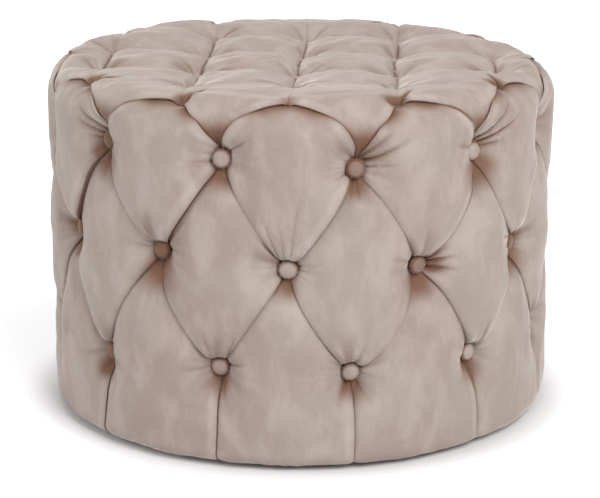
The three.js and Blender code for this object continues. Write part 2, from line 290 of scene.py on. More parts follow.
# columns are counted from the front one of the middle row; the shades are painted shade on each front
# button, and the shifts are sideways and upwards
buttonShades = {
    "upper": {-1.5: 0.95, -0.5: 0.20, 0.5: 0.50, 1.5: 0.15},
    "middle": {-2: 0.85, -1: 0.85, 0: 0.10, 1: 0.50, 2: 0.95},
    "lower": {-1.5: 0.85, -0.5: 0.30, 0.5: 0.15, 1.5: 0.15},
}
buttonShifts = {
    "upper": {-1.5: (-0.004, 0.006), -0.5: (0.001, 0.003), 0.5: (0.0, -0.006), 1.5: (0.001, -0.002)},
    "middle": {-2: (-0.005, 0.002), -1: (0.0, 0.007), 0: (0.0, -0.003), 1: (-0.001, -0.006),
               2: (0.003, -0.008)},
    "lower": {-1.5: (-0.011, -0.009), -0.5: (-0.003, 0.001), 0.5: (-0.005, -0.002), 1.5: (0.0, -0.002)},
}
# front cells that swell over the button at their side, by these lengths
swells = {
    "over": {(-1.5, "upper"): -0.010, (1.5, "upper"): 0.011, (-2, "middle"): -0.006, (2, "middle"): 0.011,
             (-1.5, "lower"): -0.007},
    "from": 0.016,
    "width": 0.010,
    "beside": (0.2, 0.9),
}
rowHeights = {"upper": upperRow, "middle": middleRow, "lower": lowerRow}


def columnOf(k):
    # the same column counted from half a turn on the left to half a turn on the right
    columns = form["columns"]
    return (k + columns / 2 - 0.5) % columns - columns / 2 + 0.5


def errorOf(row, column):
    pick = random.Random(f"{row} {columnOf(column)} {tuft['seed']}")
    loose = (pick.uniform(-1, 1) * tuft["error"], pick.uniform(-1, 1) * tuft["error"])
    return buttonShifts[row].get(columnOf(column), loose)


def sidePoint(column, height):
    return np.array([column * columnTurn * outerRadius, height])


def buttonPoint(row, column):
    return sidePoint(column, rowHeights[row]) + errorOf(row, column)


def rowColumns(row):
    return [k if row == "middle" else k + 0.5 for k in range(form["columns"])]


# The plan of the creases on the side: a crisp one laps over a dark line, and a soft one is a valley

plan = {
    "seed": 11,
    # bows of the front's creases by column, of which a positive one swells the upper cell
    "upperLeft": {-1: 0.000, 0: 0.004, 1: 0.016},
    "upperRight": {-2: 0.011, -1: 0.004, 0: -0.004, 1: 0.007},
    "lowerLeft": {-2: -0.007, -1: 0.001, 0: 0.016, 1: 0.013},
    "lowerRight": {-1: 0.015, 0: 0.0095, 1: -0.006},
    "otherBows": (-0.003, 0.013),
    "crisp": {"upperLeft": 1.0, "upperRight": 0.20, "lowerLeft": 0.46, "lowerRight": 0.38, "pleat": 0.8,
              "scallop": 1.0, "seatRow": 0.0, "seatLine": 0.0},
    # how dark the painted shadow line along each kind of crease is
    "drawn": {"upperLeft": 1.0, "upperRight": 0.05, "lowerLeft": 0.16, "lowerRight": 0.13, "pleat": 0.64,
              "scallop": 1.0, "seatRow": 0.0, "seatLine": 1.0},
    "skew": {"upperLeft": 1.0, "upperRight": 1.0, "lowerLeft": 1.3, "lowerRight": 0.9},
    "pleatWander": 0.003,
    "pleatSkew": 0.7,
}
draw = random.Random(plan["seed"])


def bowOf(table, k):
    other = draw.uniform(*plan["otherBows"])
    return plan[table].get(columnOf(k), other)


def addCrease(creases, line, hand, kind, depths, reach=None):
    item = {"line": line, "hand": hand, "depths": depths, "reach": reach or crease["reach"]}
    item["kind"] = "side" if kind.startswith(("upper", "lower")) else kind
    item["crisp"] = plan["crisp"][kind]
    item["drawn"] = plan["drawn"][kind]
    creases.append(item)
    return line


def planSide():
    creases = []
    lines = {name: {} for name in ("upperLeft", "upperRight", "lowerLeft", "lowerRight", "pleat")}
    for k in range(form["columns"]):
        upper, lower = buttonPoint("upper", k + 0.5), buttonPoint("lower", k + 0.5)
        left, right = buttonPoint("middle", k), buttonPoint("middle", k + 1)
        routes = (
            ("upperLeft", upper, left, 1),
            ("upperRight", upper, right, -1),
            ("lowerLeft", right, lower, 1),
            ("lowerRight", left, lower, -1),
        )
        for name, start, end, hand in routes:
            line = bowed(start, end, bowOf(name, k), hand, plan["skew"][name])
            soft = crease["softShare"]
            middle = crease["sideMiddle"] * (soft + (1 - soft) * plan["crisp"][name])
            lines[name][k] = addCrease(creases, line, hand, name, (tuft["depth"], middle, tuft["depth"]))
        foot = sidePoint(k + 0.5, hemEnd)
        foot[0] = lower[0]
        pleat = bowed(lower, foot, draw.uniform(-1, 1) * plan["pleatWander"], 1, plan["pleatSkew"])
        depths = (tuft["depth"], crease["pleatMiddle"], crease["pleatEnd"])
        lines["pleat"][k] = addCrease(creases, pleat, 1, "pleat", depths, reach=crease["pleatReach"])
    return creases, lines


# Scallops of the seat's velvet: each rises from an upper button to the tuck of a seat crease, its top

tucks = {
    "roundPower": 1.75,
    "narrow": (0.30, 0.45),    # a flank up to the first width, in columns, is straight, and then grows round
    "depth": 0.0088,
    # folds that run out over the seat from each knot: turn, length, depth and width
    "frontSlit": {-1: (1.36, 0.046, 0.0050, 0.0026), 1: (0.62, 0.050, 0.0050, 0.0026)},
    "slits": [(0.78, 0.046, 0.0048, 0.0026), (0.45, 0.022, 0.0025, 0.0018), (1.5, 0.026, 0.0022, 0.0018),
              (2.2, 0.030, 0.0026, 0.0018), (2.75, 0.022, 0.0024, 0.0018)],
    "topSlits": [(0.55, 0.034, 0.0020, 0.0018), (0.95, 0.030, 0.0018, 0.0016), (2.3, 0.030, 0.0018, 0.0018)],
    "shadeReach": 0.0115,
    "shadeStretch": (0.75, 0.55),
    "streak": 0.0036,
    "streakShade": 1.3,
    "shade": 1.0,
    "topShade": 0.45,
}


def tuckTurn(k):
    # the seat crease that meets the scallop of column k, as a turn
    column = columnOf(k)
    mirror = 1 if column >= 0 else -1
    reach = unrolledEdge - (archTop - jointHeight)
    first, second = math.asin(gridPitch / reach), math.asin(2 * gridPitch / reach)
    turns = (0.0, first, second, math.pi / 2, math.pi - second, math.pi - first, math.pi)
    return mirror * turns[int(abs(column))]


def tuckKnot(k):
    # only the tucks at the side of a scallop are drawn into a knot
    return columnOf(k) % 3 != 0


def slitsOf(k):
    if not tuckKnot(k):
        return tucks["topSlits"]
    return [tucks["frontSlit"].get(columnOf(k), tucks["slits"][0])] + tucks["slits"][1:]


def tuckPoint(k):
    middle = k * columnTurn
    turn = middle + (tuckTurn(k) - middle + math.pi) % (2 * math.pi) - math.pi
    return np.array([turn * outerRadius, archTop])


def scallopFlank(button, peak, count=33):
    width = abs(peak[0] - button[0]) / (columnTurn * outerRadius)
    power = 1.0 + (tucks["roundPower"] - 1) * float(smoothStep(width, *tucks["narrow"]))
    bend = np.linspace(0, math.pi / 2, count)
    across = 1 - np.cos(bend) ** (2 / power)
    up = np.sin(bend) ** (2 / power)
    flank = np.column_stack([
        button[0] + (peak[0] - button[0]) * across,
        button[1] + (peak[1] - button[1]) * up,
    ])
    return along(flank, np.linspace(0, 1, count))


def planScallops():
    creases = []
    flanks = {}
    for k in range(form["columns"]):
        peak = tuckPoint(k)
        tuckDepth = tucks["depth"] if tuckKnot(k) else crease["archMiddle"]
        depths = (tuft["depth"], crease["archMiddle"], tuckDepth)
        fromLeft = scallopFlank(buttonPoint("upper", k - 0.5), peak)
        fromRight = scallopFlank(buttonPoint("upper", k + 0.5), peak)
        addCrease(creases, np.concatenate([fromLeft, fromRight[::-1][1:]]), 1, "scallop", depths)
        lengths = [lengthOf(np.diff(flank, axis=0)).sum() for flank in (fromLeft, fromRight)]
        creases[-1]["peak"] = lengths[0] / sum(lengths)
        flanks[k] = (fromLeft, fromRight)
    return creases, flanks


def flankShare(item, share):
    # how far up its flank a point of a scallop is: 0 at either button and 1 at the top
    if "peak" not in item:
        return share
    peak = item["peak"]
    return np.where(share < peak, share / peak, (1 - share) / (1 - peak))


# Depth of the cover under the smooth form, and its sideways lean, for points on the unrolled cover

def depthAlong(item, share):
    start, middle, end = item["depths"]
    if item["kind"] == "pleat":
        swell = (middle - end) * (1 - share) * share * 2
        return end + (start - end) * (1 - share) ** crease["pleatPower"] + swell
    nearer = np.where(share < 0.5, start, end)
    return middle + (nearer - middle) * towardsEnds(share, crease["endPower"])


def sections(item, distance, side, share):
    # the section, and how much either side laps over the crease
    below = smoothStep(side * item["hand"], -1, 1)
    soft = softSection(distance, item["reach"])
    if item["kind"] in ("seatRow", "seatLine"):
        slit = crease["slit"] if item["kind"] == "seatLine" else 0.0
        dome = np.clip(1 - distance / item["reach"], 0, 1) ** crease["seatPower"]
        return (1 - slit) * dome + slit * np.exp(-distance / crease["slitWidth"]), np.zeros_like(distance)
    crisp = item["crisp"] + (1 - item["crisp"]) * towardsEnds(share, crease["crispPower"])
    proud = soft + (proudSection(distance) - soft) * crisp
    gentle = soft + (gentleSection(distance, item["reach"]) - soft) * crisp
    if item["kind"] == "scallop":
        below = below + (1 - 2 * below) * smoothStep(share, *crease["changeOver"])
    return proud + (gentle - proud) * below, (1 - below) * crisp


def turnedAway(points, way):
    # how far a lap's edge is turned away from the front, where its cell lies in the given way
    turn = points[:, 0] / outerRadius
    up = np.clip((points[:, 1] - jointHeight) / form["shoulderRadius"], 0, math.pi / 2)
    facing = way[:, 0] * np.sin(turn) + way[:, 1] * np.sin(up - crease["eyePitch"])
    return smoothStep(-facing, *crease["turnedFrom"])


def creaseField(points, creases, period=0.0):
    field = {name: np.zeros(len(points)) for name in ("sum", "paintedHighlight", "under", "line")}
    field["lean"] = np.zeros_like(points)
    field["near"] = np.full(len(points), np.inf)
    for item in creases:
        for shift in roundShifts(period):
            line = item["line"] + [shift, 0]
            near = boxRound(line, points, item["reach"])
            if not near.any():
                continue
            distance, side, share, gap = nearest(points[near], line)
            share = flankShare(item, share)
            section, lap = sections(item, distance, side, share)
            field["sum"][near] += (depthAlong(item, share) * section) ** crease["sumPower"]
            free = share if item["kind"] in ("scallop", "pleat") else np.minimum(share, 1 - share)
            away = smoothStep(free, 0.0, crease["fadeIn"])
            amount = crease["lap"] * lap * lapShape(distance) * away
            apart = distance[:, None]
            way = np.divide(gap, apart, out=np.zeros_like(gap), where=apart > tiny)
            field["near"][near] = np.minimum(field["near"][near], distance)
            field["lean"][near] -= way * amount[:, None]
            # painted highlight along the rim of a lap that leans over its crease
            field["paintedHighlight"][near] += lap * bell(distance - crease["highlightAt"], crease["highlightWidth"]) * away
            # painted shade on the side that a lap covers
            field["under"][near] += (1 - lap) * item["crisp"] * np.exp(-distance / crease["underReach"])
            # a painted shadow line along the crease, which runs further up a lap that is turned away from
            # the front
            wide = crease["lineWidth"] * (1 + crease["lineSpread"] * (1 - lap))
            wide = crease["seatLineWidth"] if item["kind"] == "seatLine" else wide
            start = lap * (crease["lineStart"] + crease["lineFurther"] * turnedAway(points[near], way))
            drawn = item["drawn"]
            if item["kind"] == "side":
                drawn = np.maximum(drawn, crease["lineEnds"] * towardsEnds(share, crease["linePower"]))
            drawn = drawn * bell(np.maximum(distance - start, 0), wide)
            field["line"][near] = np.maximum(field["line"][near], drawn)
    return field


def tuftField(points, places, period=0.0, flat=tuft["flat"], least=tuft["reach"]):
    total = np.zeros(len(points))
    for x, y, deep, above, below in places:
        for shift in roundShifts(period):
            away = points - [x + shift, y]
            radius = lengthOf(away)
            near = radius < tuft["nearby"]
            rise = away[near, 1] / np.maximum(radius[near], tiny)
            reach = least + above * np.maximum(rise, 0) ** 2 + below * np.maximum(-rise, 0) ** 2
            out = np.maximum(radius[near] - flat, 0) / reach
            total[near] += (deep / (1 + out ** tuft["power"])) ** crease["sumPower"]
    return total


def swellsOver(points):
    # sideways moves of the velvet towards the buttons that it half hides
    moves = np.zeros_like(points)
    for (column, row), length in swells["over"].items():
        away = points - buttonPoint(row, column % form["columns"])
        away[:, 0] -= girth * np.round(away[:, 0] / girth)
        distance = lengthOf(away)
        share = -away[:, 0] * math.copysign(1, length) / np.maximum(distance, tiny)
        beside = smoothStep(share, *swells["beside"])
        moves[:, 0] += length * beside * bell(distance - swells["from"], swells["width"])
    return moves


def capped(depth, cap):
    share = depth / cap
    power = tuft["capPower"]
    return cap * share / (1 + share ** power) ** (1 / power)


def sideTufts():
    places = []
    for row in rowHeights:
        above = tuft["above"] if row == "upper" else 0.0
        for column in rowColumns(row):
            x, y = buttonPoint(row, column)
            places.append((x, y, tuft["depth"], above, tuft["below"]))
    for k in filter(tuckKnot, range(form["columns"])):
        x, y = tuckPoint(k)
        places.append((x, y, tucks["depth"], 0.0, 0.0))
    return places


# The cover settles over its wadding: a coarse sheet moves as cloth with a little slack, as the fine one does

settling = {
    "columns": 228,
    "rows": 62,
    "seatColumns": 78,
    "frames": 16,
    "held": 0.0062,            # the sheet is held this near to a crease,
    "sunk": 0.8,               # and where it is drawn in by this share of the most
    "slack": 0.07,
    "pressure": 0.55,
    "limit": 0.0050,
    "share": 0.32,
    "seatShare": 0.25,
    "past": 0.012,             # how far the side's sheet goes on over the scallops, where its moves fade
    "footFade": (-0.001, 0.020),   # heights over the hem between which they grow
    "rimShort": 0.020,         # how far the seat's sheet stops short of its rim
    "rimFade": (0.030, 0.010),     # distances from its end between which its moves fade
    "cloth": {
        "quality": 6, "mass": 0.2, "tension_stiffness": 12, "compression_stiffness": 12,
        "shear_stiffness": 4, "bending_stiffness": 0.35, "tension_damping": 8,
        "compression_damping": 8, "bending_damping": 1.5, "air_damping": 6, "use_pressure": True,
    },
}


def settle(places, held, closed, taken):
    rows, columns = places.shape[:2]
    sheet = bmesh.new()
    numbers = layGrid(sheet, places)
    layer = sheet.verts.layers.int.new("number")
    for vert, number in zip(sheet.verts, numbers):
        vert[layer] = number
    if closed:
        bmesh.ops.remove_doubles(sheet, verts=sheet.verts, dist=mesh["sameRing"])
    bmesh.ops.recalc_face_normals(sheet, faces=sheet.faces)
    kept = np.array([vert[layer] for vert in sheet.verts])
    piece = meshObject("settling sheet", sheet)
    data = piece.data
    group = piece.vertex_groups.new(name="held")
    group.add(np.nonzero(held.reshape(-1)[kept])[0].tolist(), 1.0, "REPLACE")
    cloth = piece.modifiers.new("settling", "CLOTH")
    values = cloth.settings
    for name, value in settling["cloth"].items():
        setattr(values, name, value)
    values.shrink_min = -settling["slack"]
    values.vertex_group_mass = "held"
    values.uniform_pressure_force = settling["pressure"]
    values.effector_weights.gravity = 0
    cloth.collision_settings.use_collision = False
    cloth.point_cache.frame_start = 1
    cloth.point_cache.frame_end = settling["frames"]
    for frameNumber in range(1, settling["frames"] + 1):
        scene.frame_set(frameNumber)
    evaluated = piece.evaluated_get(bpy.context.evaluated_depsgraph_get())
    found = np.empty(len(kept) * 3, np.float32)
    evaluated.data.vertices.foreach_get("co", found)
    moved = np.zeros((rows * columns, 3))
    moved[kept] = found.reshape(-1, 3) - places.reshape(-1, 3)[kept]
    moved = moved.reshape(rows, columns, 3)
    if closed:
        same = np.abs(moved[:, 0]).sum(-1) > np.abs(moved[:, -1]).sum(-1)
        edge = np.where(same[:, None], moved[:, 0], moved[:, -1])
        moved[:, 0] = moved[:, -1] = edge
    bpy.data.objects.remove(piece)
    bpy.data.meshes.remove(data)
    scene.frame_set(1)
    length = np.linalg.norm(moved, axis=-1, keepdims=True)
    limit = settling["limit"]
    return moved * taken * np.tanh(length / limit) * limit / np.maximum(length, tiny)


def sampled(grid, across, up):
    # bilinear values of a grid at shares 0 to 1 of its width and height
    rows, columns = grid.shape[:2]
    x, y = np.clip(across, 0, 1) * (columns - 1), np.clip(up, 0, 1) * (rows - 1)
    left, low = np.minimum(x.astype(int), columns - 2), np.minimum(y.astype(int), rows - 2)
    x, y = (x - left)[:, None], (y - low)[:, None]
    first = grid[low, left] * (1 - x) + grid[low, left + 1] * x
    second = grid[low + 1, left] * (1 - x) + grid[low + 1, left + 1] * x
    return first * (1 - y) + second * y


# Painted brown shade in the hollows below each button of the side, and above the upper row's buttons, with
# the darker tone of the crushed pile there

pockets = {
    "width": 0.0070,
    "widening": 0.42,
    "length": (0.006, 0.050),
    "lapLength": (0.012, 0.068),
    "lapWidening": 0.62,
    "start": (-0.016, 0.002),
    "arch": 0.85,
    "archStart": 0.0050,
    "archReach": 0.0125,
    "archNear": 0.03,
    "archShares": (0.35, 0.80),    # up a scallop's flank, where the shade comes in
    "seat": 0.75,
    "seatReach": 0.008,
    # front buttons with a larger pocket of painted shade: how much wider and longer it is
    "larger": {(-1.5, "upper"): (1.7, 1.3), (1.5, "upper"): (1.5, 1.3), (-1, "middle"): (1.6, 1.4),
               (1, "middle"): (1.2, 1.2), (2, "middle"): (1.6, 1.1)},
    # patches of painted brown shade beside front buttons: the way to them, their radius and shade
    "beside": {(1.5, "upper"): (0.012, -0.017, 0.019, 0.70), (1, "middle"): (0.019, -0.001, 0.012, 0.55),
               (2, "middle"): (0.004, 0.001, 0.017, 0.95), (-1.5, "upper"): (-0.012, -0.012, 0.016, 0.85),
               (-2, "middle"): (-0.010, 0.0, 0.014, 0.70), (0.5, "upper"): (0.006, -0.016, 0.009, 0.45),
               (-1.5, "lower"): (-0.005, -0.020, 0.015, 0.85)},
}


def pocketShade(points, onSeat):
    total = np.zeros(len(points))
    for row in rowHeights:
        if onSeat and row != "upper":
            continue
        length = pockets["lapLength"] if onSeat else pockets["length"]
        widening = pockets["lapWidening"] if onSeat else pockets["widening"]
        for column in rowColumns(row):
            x, y = buttonPoint(row, column)
            wider, longer = (1, 1) if onSeat else pockets["larger"].get((columnOf(column), row), (1, 1))
            right, up, radius, dark = pockets["beside"].get((columnOf(column), row), (0, 0, 1, 0))
            for shift in roundShifts(girth):
                aside = points[:, 0] - x - shift
                away = (points[:, 1] - y) * (1 if onSeat else -1)
                wide = (pockets["width"] + widening * np.maximum(away, 0)) * wider
                shade = bell(aside, wide) * (1 - smoothStep(away / longer, *length))
                total = np.maximum(total, shade * smoothStep(away, *pockets["start"]))
                if dark and not onSeat:
                    off = np.hypot(aside - right, points[:, 1] - y - up)
                    total = np.maximum(total, dark * bell(off, radius))
    return total


def knotShade(points):
    # painted shade round the knots of the tucks, and a little at the tops of the other scallops, with a
    # painted dark streak along each knot's first slit
    total = np.zeros(len(points))
    for k in range(form["columns"]):
        x, y = tuckPoint(k)
        shade = tucks["shade"] if tuckKnot(k) else tucks["topShade"]
        for shift in roundShifts(girth):
            away = points - [x + shift, y]
            distance = lengthOf(away * tucks["shadeStretch"])
            total = np.maximum(total, shade * bell(distance, tucks["shadeReach"]))
            turn, length = slitsOf(k)[0][:2]
            ahead, aside = rayParts(away, turn)
            streak = np.sqrt(np.clip(1 - ahead / length, 0, 1)) * (ahead > 0) * tuckKnot(k)
            total = np.maximum(total, tucks["streakShade"] * streak * bell(aside, tucks["streak"]))
    return total


def archShade(points, flanks):
    # the side's velvet is in shade where it goes in under the top of a scallop
    total = np.zeros(len(points))
    for k in flanks:
        for flank in flanks[k]:
            for shift in roundShifts(girth):
                line = shiftTo(flank, k) + [shift, 0]
                near = boxRound(line, points, pockets["archNear"])
                if near.any():
                    distance, share = nearest(points[near], line)[::2]
                    away = np.maximum(distance - pockets["archStart"], 0)
                    shade = pockets["arch"] * np.exp(-away / pockets["archReach"])
                    shade = shade * smoothStep(share, *pockets["archShares"])
                    total[near] = np.maximum(total[near], shade)
    return total


# Fine tension folds that run out from the buttons

folds = {
    "seed": 23,
    "count": (6, 9),
    "length": (0.022, 0.050),
    "depth": (0.0010, 0.0026),
    "width": (0.0014, 0.0026),
    "atButton": 0.6,           # share of its width that a fold has at the button,
    "widening": 0.9,           # and what it gains by its end
    "fadeIn": 0.12,
    "fadePower": 0.75,
    "sidePower": 1.4,
    # painted shade in the folds, for each metre of their depth
    "shade": 110.0,
    "seat": 0.28,              # how deep they are on the seat, as a share
}


def foldDepth(points, sources, period=0.0):
    pick = random.Random(folds["seed"])
    total = np.zeros(len(points))
    for x, y, extra, loose in sources:
        count = pick.randint(*folds["count"]) if loose else 0
        rays = [(pick.uniform(0, 2 * math.pi), pick.uniform(*folds["length"]),
                 pick.uniform(*folds["depth"]), pick.uniform(*folds["width"])) for _ in range(count)]
        for shift in roundShifts(period):
            away = points - [x + shift, y]
            near = lengthOf(away) < tuft["nearby"]
            if not near.any():
                continue
            for turn, length, depth, width in rays + list(extra):
                ahead, aside = rayParts(away[near], turn)
                start = tuft["flat"] if loose else 0.0
                share = np.clip((ahead - start) / length, 0, 1)
                wide = width * (folds["atButton"] + folds["widening"] * share)
                fade = smoothStep(share, 0.0, folds["fadeIn"]) * (1 - share) ** folds["fadePower"]
                section = np.exp(-np.abs(aside / wide) ** folds["sidePower"])
                total[near] += depth * fade * (ahead > 0) * section
    return total


# Folds of the front buttons as they lie in the photograph: turn, length, depth and width

frontFolds = {
    (-1.5, "upper"): [(2.15, 0.045, 0.006, 0.0015), (2.45, 0.052, 0.007, 0.0015),
                      (2.75, 0.045, 0.006, 0.0015), (3.1, 0.035, 0.004, 0.0015),
                      (1.8, 0.03, 0.004, 0.0014)],
    (-0.5, "upper"): [(0.62, 0.05, 0.0055, 0.0015), (2.9, 0.035, 0.003, 0.0015),
                      (3.3, 0.035, 0.003, 0.0015), (1.3, 0.035, 0.0024, 0.0015),
                      (1.75, 0.035, 0.0026, 0.0015)],
    (0.5, "upper"): [(0.5, 0.06, 0.0078, 0.003), (0.8, 0.05, 0.0065, 0.0022),
                     (3.5, 0.035, 0.0045, 0.0018), (2.6, 0.04, 0.003, 0.0017),
                     (0.08, 0.045, 0.004, 0.0018)],
    (1.5, "upper"): [(0.5, 0.072, 0.0095, 0.0024), (0.8, 0.07, 0.0085, 0.002),
                     (0.22, 0.045, 0.005, 0.0018), (1.1, 0.045, 0.005, 0.0015)],
    (0.0, "middle"): [(0.9, 0.09, 0.006, 0.002), (1.12, 0.06, 0.003, 0.0015),
                      (1.42, 0.11, 0.003, 0.0026), (1.72, 0.055, 0.0034, 0.0016),
                      (2, 0.07, 0.004, 0.0016), (2.3, 0.055, 0.0036, 0.0015),
                      (0.2, 0.04, 0.003, 0.0018)],
    (1.0, "middle"): [(0.12, 0.042, 0.006, 0.0018), (0.42, 0.045, 0.0055, 0.0015),
                      (0.72, 0.055, 0.005, 0.0015), (-0.2, 0.038, 0.0055, 0.0018)],
    (-1.0, "middle"): [(1.2, 0.045, 0.0035, 0.0015), (0.8, 0.05, 0.0035, 0.0015),
                       (2.2, 0.04, 0.003, 0.0015)],
    (0.5, "lower"): [(0.55, 0.035, 0.003, 0.0014), (1.2, 0.045, 0.003, 0.0017),
                     (2.3, 0.04, 0.003, 0.0015)],
    (-0.5, "lower"): [(0.2, 0.035, 0.004, 0.0022), (1.1, 0.05, 0.0035, 0.0017),
                      (1.9, 0.045, 0.003, 0.0015)],
}


def refineAlongFolds(sheet, measure):
    # halves the faces where there are folds, so that these come out sharp
    for step in mesh["foldSteps"]:
        strong = measure(flatPoints(sheet)) > mesh["leastFold"]
        for vert, chosen in zip(sheet.verts, strong):
            vert.tag = bool(chosen)
        edges = [edge for edge in sheet.edges
                 if edge.verts[0].tag and edge.verts[1].tag and edge.calc_length() > step]
        bmesh.ops.subdivide_edges(sheet, edges=edges, cuts=1, use_grid_fill=True)


def foldSources():
    sources = []
    for row in rowHeights:
        for column in rowColumns(row):
            x, y = buttonPoint(row, column)
            sources.append((x, y, frontFolds.get((columnOf(column), row), []), True))
    for k in range(form["columns"]):
        x, y = tuckPoint(k)
        sources.append((x, y, slitsOf(k), False))
    return sources


# The wadding under the velvet: slow waves, and a rim that is stuffed fuller at the back on the left

waves = {
    "seed": 5,
    "count": 14,
    "across": (6, 30),         # whole waves round the tuffet
    "upLength": (0.06, 0.22),
    "height": 0.0008,
    "seat": 0.1,               # they grow from none in the middle of the seat to all at this radius
}
fuller = {
    "turns": (-2.85, -2.40, -1.85, -1.35),     # where it starts, is full, fades and ends
    "runs": (0.010, 0.036, 0.090, 0.150),      # and the same upwards from the joint
    "height": 0.0060,
}


def fullerRim(turn, run):
    turn = (turn + math.pi) % (2 * math.pi) - math.pi
    start, full, fade, end = fuller["turns"]
    sideways = smoothStep(turn, start, full) * (1 - smoothStep(turn, fade, end))
    low, high, inner, last = (jointHeight + place for place in fuller["runs"])
    return fuller["height"] * sideways * smoothStep(run, low, high) * (1 - smoothStep(run, inner, last))


def waddingDepth(turn, run):
    pick = random.Random(waves["seed"])
    total = np.zeros(len(turn))
    for _ in range(waves["count"]):
        around = pick.randint(*waves["across"]) * pick.choice((-1, 1))
        upwards = 2 * math.pi / pick.uniform(*waves["upLength"])
        total += np.sin(around * turn + upwards * run + pick.uniform(0, 2 * math.pi))
    return total * waves["height"] / math.sqrt(waves["count"]) - fullerRim(turn, run)


# Objects, and flat sheets: grids of vertices laid out on the unrolled cover

def linked(name, data):
    made = bpy.data.objects.new(name, data)
    scene.collection.objects.link(made)
    return made


def meshObject(name, sheet):
    data = bpy.data.meshes.new(name)
    sheet.to_mesh(data)
    sheet.free()
    return linked(name, data)


def layGrid(sheet, places):
    # a grid of faces with its vertices at the given places, and the numbers of those places
    rows, columns = places.shape[0] - 1, places.shape[1] - 1
    made = bmesh.ops.create_grid(sheet, x_segments=columns, y_segments=rows, size=1)
    numbers = []
    for vert in made["verts"]:
        column = round((vert.co.x + 1) / 2 * columns)
        row = round((vert.co.y + 1) / 2 * rows)
        vert.co = (*places[row, column], 0)[:3]
        numbers.append(row * (columns + 1) + column)
    return numbers


def layPatch(sheet, bottom, top, left, right, across, up):
    # a grid between four edges, with its lines at the given shares of them
    u, v = across[None, :, None], up[:, None, None]
    sides = (1 - v) * bottom[None] + v * top[None] + (1 - u) * left[:, None] + u * right[:, None]
    corners = (1 - u) * (1 - v) * bottom[0] + u * (1 - v) * bottom[-1]
    corners = corners + (1 - u) * v * top[0] + u * v * top[-1]
    layGrid(sheet, sides - corners)


def cellShares(count):
    return (1 - np.cos(np.linspace(0, math.pi, count + 1))) / 2


mesh = {
    "cell": 40,
    "skirt": 52,
    "seatRings": 80,
    "firstRings": (0.0, 0.0004, 0.0013, 0.0027, 0.0045, 0.0067, 0.0095, 0.0128, 0.0165),
    "ringRadius": 0.30,        # the first rings are shares of this radius
    "lastRings": (0.995, 0.9985),
    "poleReach": 0.0004,
    "sameRing": 0.000001,      # vertices nearer than these are merged
    "sameCell": 0.00003,
    "sameSeam": 0.00005,
    "foldSteps": (0.0030, 0.0018, 0.0012),
    "leastFold": 0.0004,
    "lineReach": 0.0034,
    "leastLine": 0.4,          # how dark a seat line is at least, for fine faces along it
}


def shiftTo(line, column):
    # the same crease moved by whole turns so that it lies by the given column
    middle = column * columnTurn * outerRadius
    return line + [round((middle - line[:, 0].mean()) / girth) * girth, 0]


def layUpperCell(sheet, k, lines, flanks, shares):
    before = (k - 1) % form["columns"]
    right = along(shiftTo(lines["upperLeft"][k], k)[::-1], shares)
    left = along(shiftTo(lines["upperRight"][before], k)[::-1], shares)
    fromLeft, fromRight = (along(shiftTo(flank, k), shares) for flank in flanks[k])
    layPatch(sheet, right, fromLeft, left, fromRight, shares, shares)


def layDiamond(sheet, k, lines, shares):
    names = ("lowerLeft", "upperLeft", "lowerRight", "upperRight")
    edges = [along(lines[name][k][::-1], shares) for name in names]
    layPatch(sheet, *edges, shares, shares)


def layLowerCell(sheet, k, lines, shares):
    before = (k - 1) % form["columns"]
    rising = along(shiftTo(lines["lowerLeft"][before], k)[::-1], shares)
    falling = along(shiftTo(lines["lowerRight"][k], k), shares)
    roof = np.concatenate([rising, falling[1:]])
    skirt = np.sin(np.linspace(0, math.pi / 2, mesh["skirt"] + 1))
    left = along(shiftTo(lines["pleat"][before], k)[::-1], skirt)
    right = along(shiftTo(lines["pleat"][k], k)[::-1], skirt)
    across = np.concatenate([shares / 2, 0.5 + shares[1:] / 2])
    foot = left[0] + across[:, None] * (right[0] - left[0])
    layPatch(sheet, foot, roof, left, right, across, skirt)


def flatPoints(sheet):
    return np.array([vert.co[:2] for vert in sheet.verts], float)


def velvetPiece(name, sheet, node, velvet):
    piece = meshObject(name, sheet)
    piece.data.shade_smooth()
    piece.data.materials.append(velvet)
    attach(piece, "root")
    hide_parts(node)
    return piece


def extrudeLoop(body, edges, place):
    grown = bmesh.ops.extrude_edge_only(body, edges=edges)["geom"]
    for vert in (item for item in grown if isinstance(item, bmesh.types.BMVert)):
        vert.co = turned(math.atan2(vert.co.x, -vert.co.y), *place(vert))
    return [item for item in grown if isinstance(item, bmesh.types.BMEdge)]


def openLoops(body, isFirst):
    # the two loops of open edges, told apart by the place of an edge's first vertex
    loops = ([], [])
    for edge in body.edges:
        if edge.is_boundary:
            loops[0 if isFirst(edge.verts[0].co) else 1].append(edge)
    return loops


gathers = {
    "start": (0.008, 0.015),
    "end": (0.022, 0.056),
    "above": (-0.6, 0.5),
    "least": 0.35,
    "round": 1.9,              # how close together they stand round a button,
    "apart": 3.7,              # and how far one button's are from the next one's in the noise
    "noise": (1.0, 1.5, 0.5, 0.15),
}


def fromButton(points, places, period=0.0):
    # the way from the nearest button with that button's own number, and how much the velvet is gathered
    best = np.full(len(points), np.inf)
    ways = np.zeros((len(points), 3))
    for number, (x, y) in enumerate(places):
        for shift in roundShifts(period):
            away = points - [x + shift, y]
            distance = lengthOf(away)
            near = distance < best
            best[near] = distance[near]
            ways[near, :2] = away[near]
            ways[near, 2] = number * gathers["apart"]
    fan = smoothStep(best, *gathers["start"]) * (1 - smoothStep(best, *gathers["end"]))
    rise = smoothStep(ways[:, 1] / np.maximum(best, tiny), *gathers["above"])
    return ways, fan * (gathers["least"] + (1 - gathers["least"]) * rise)


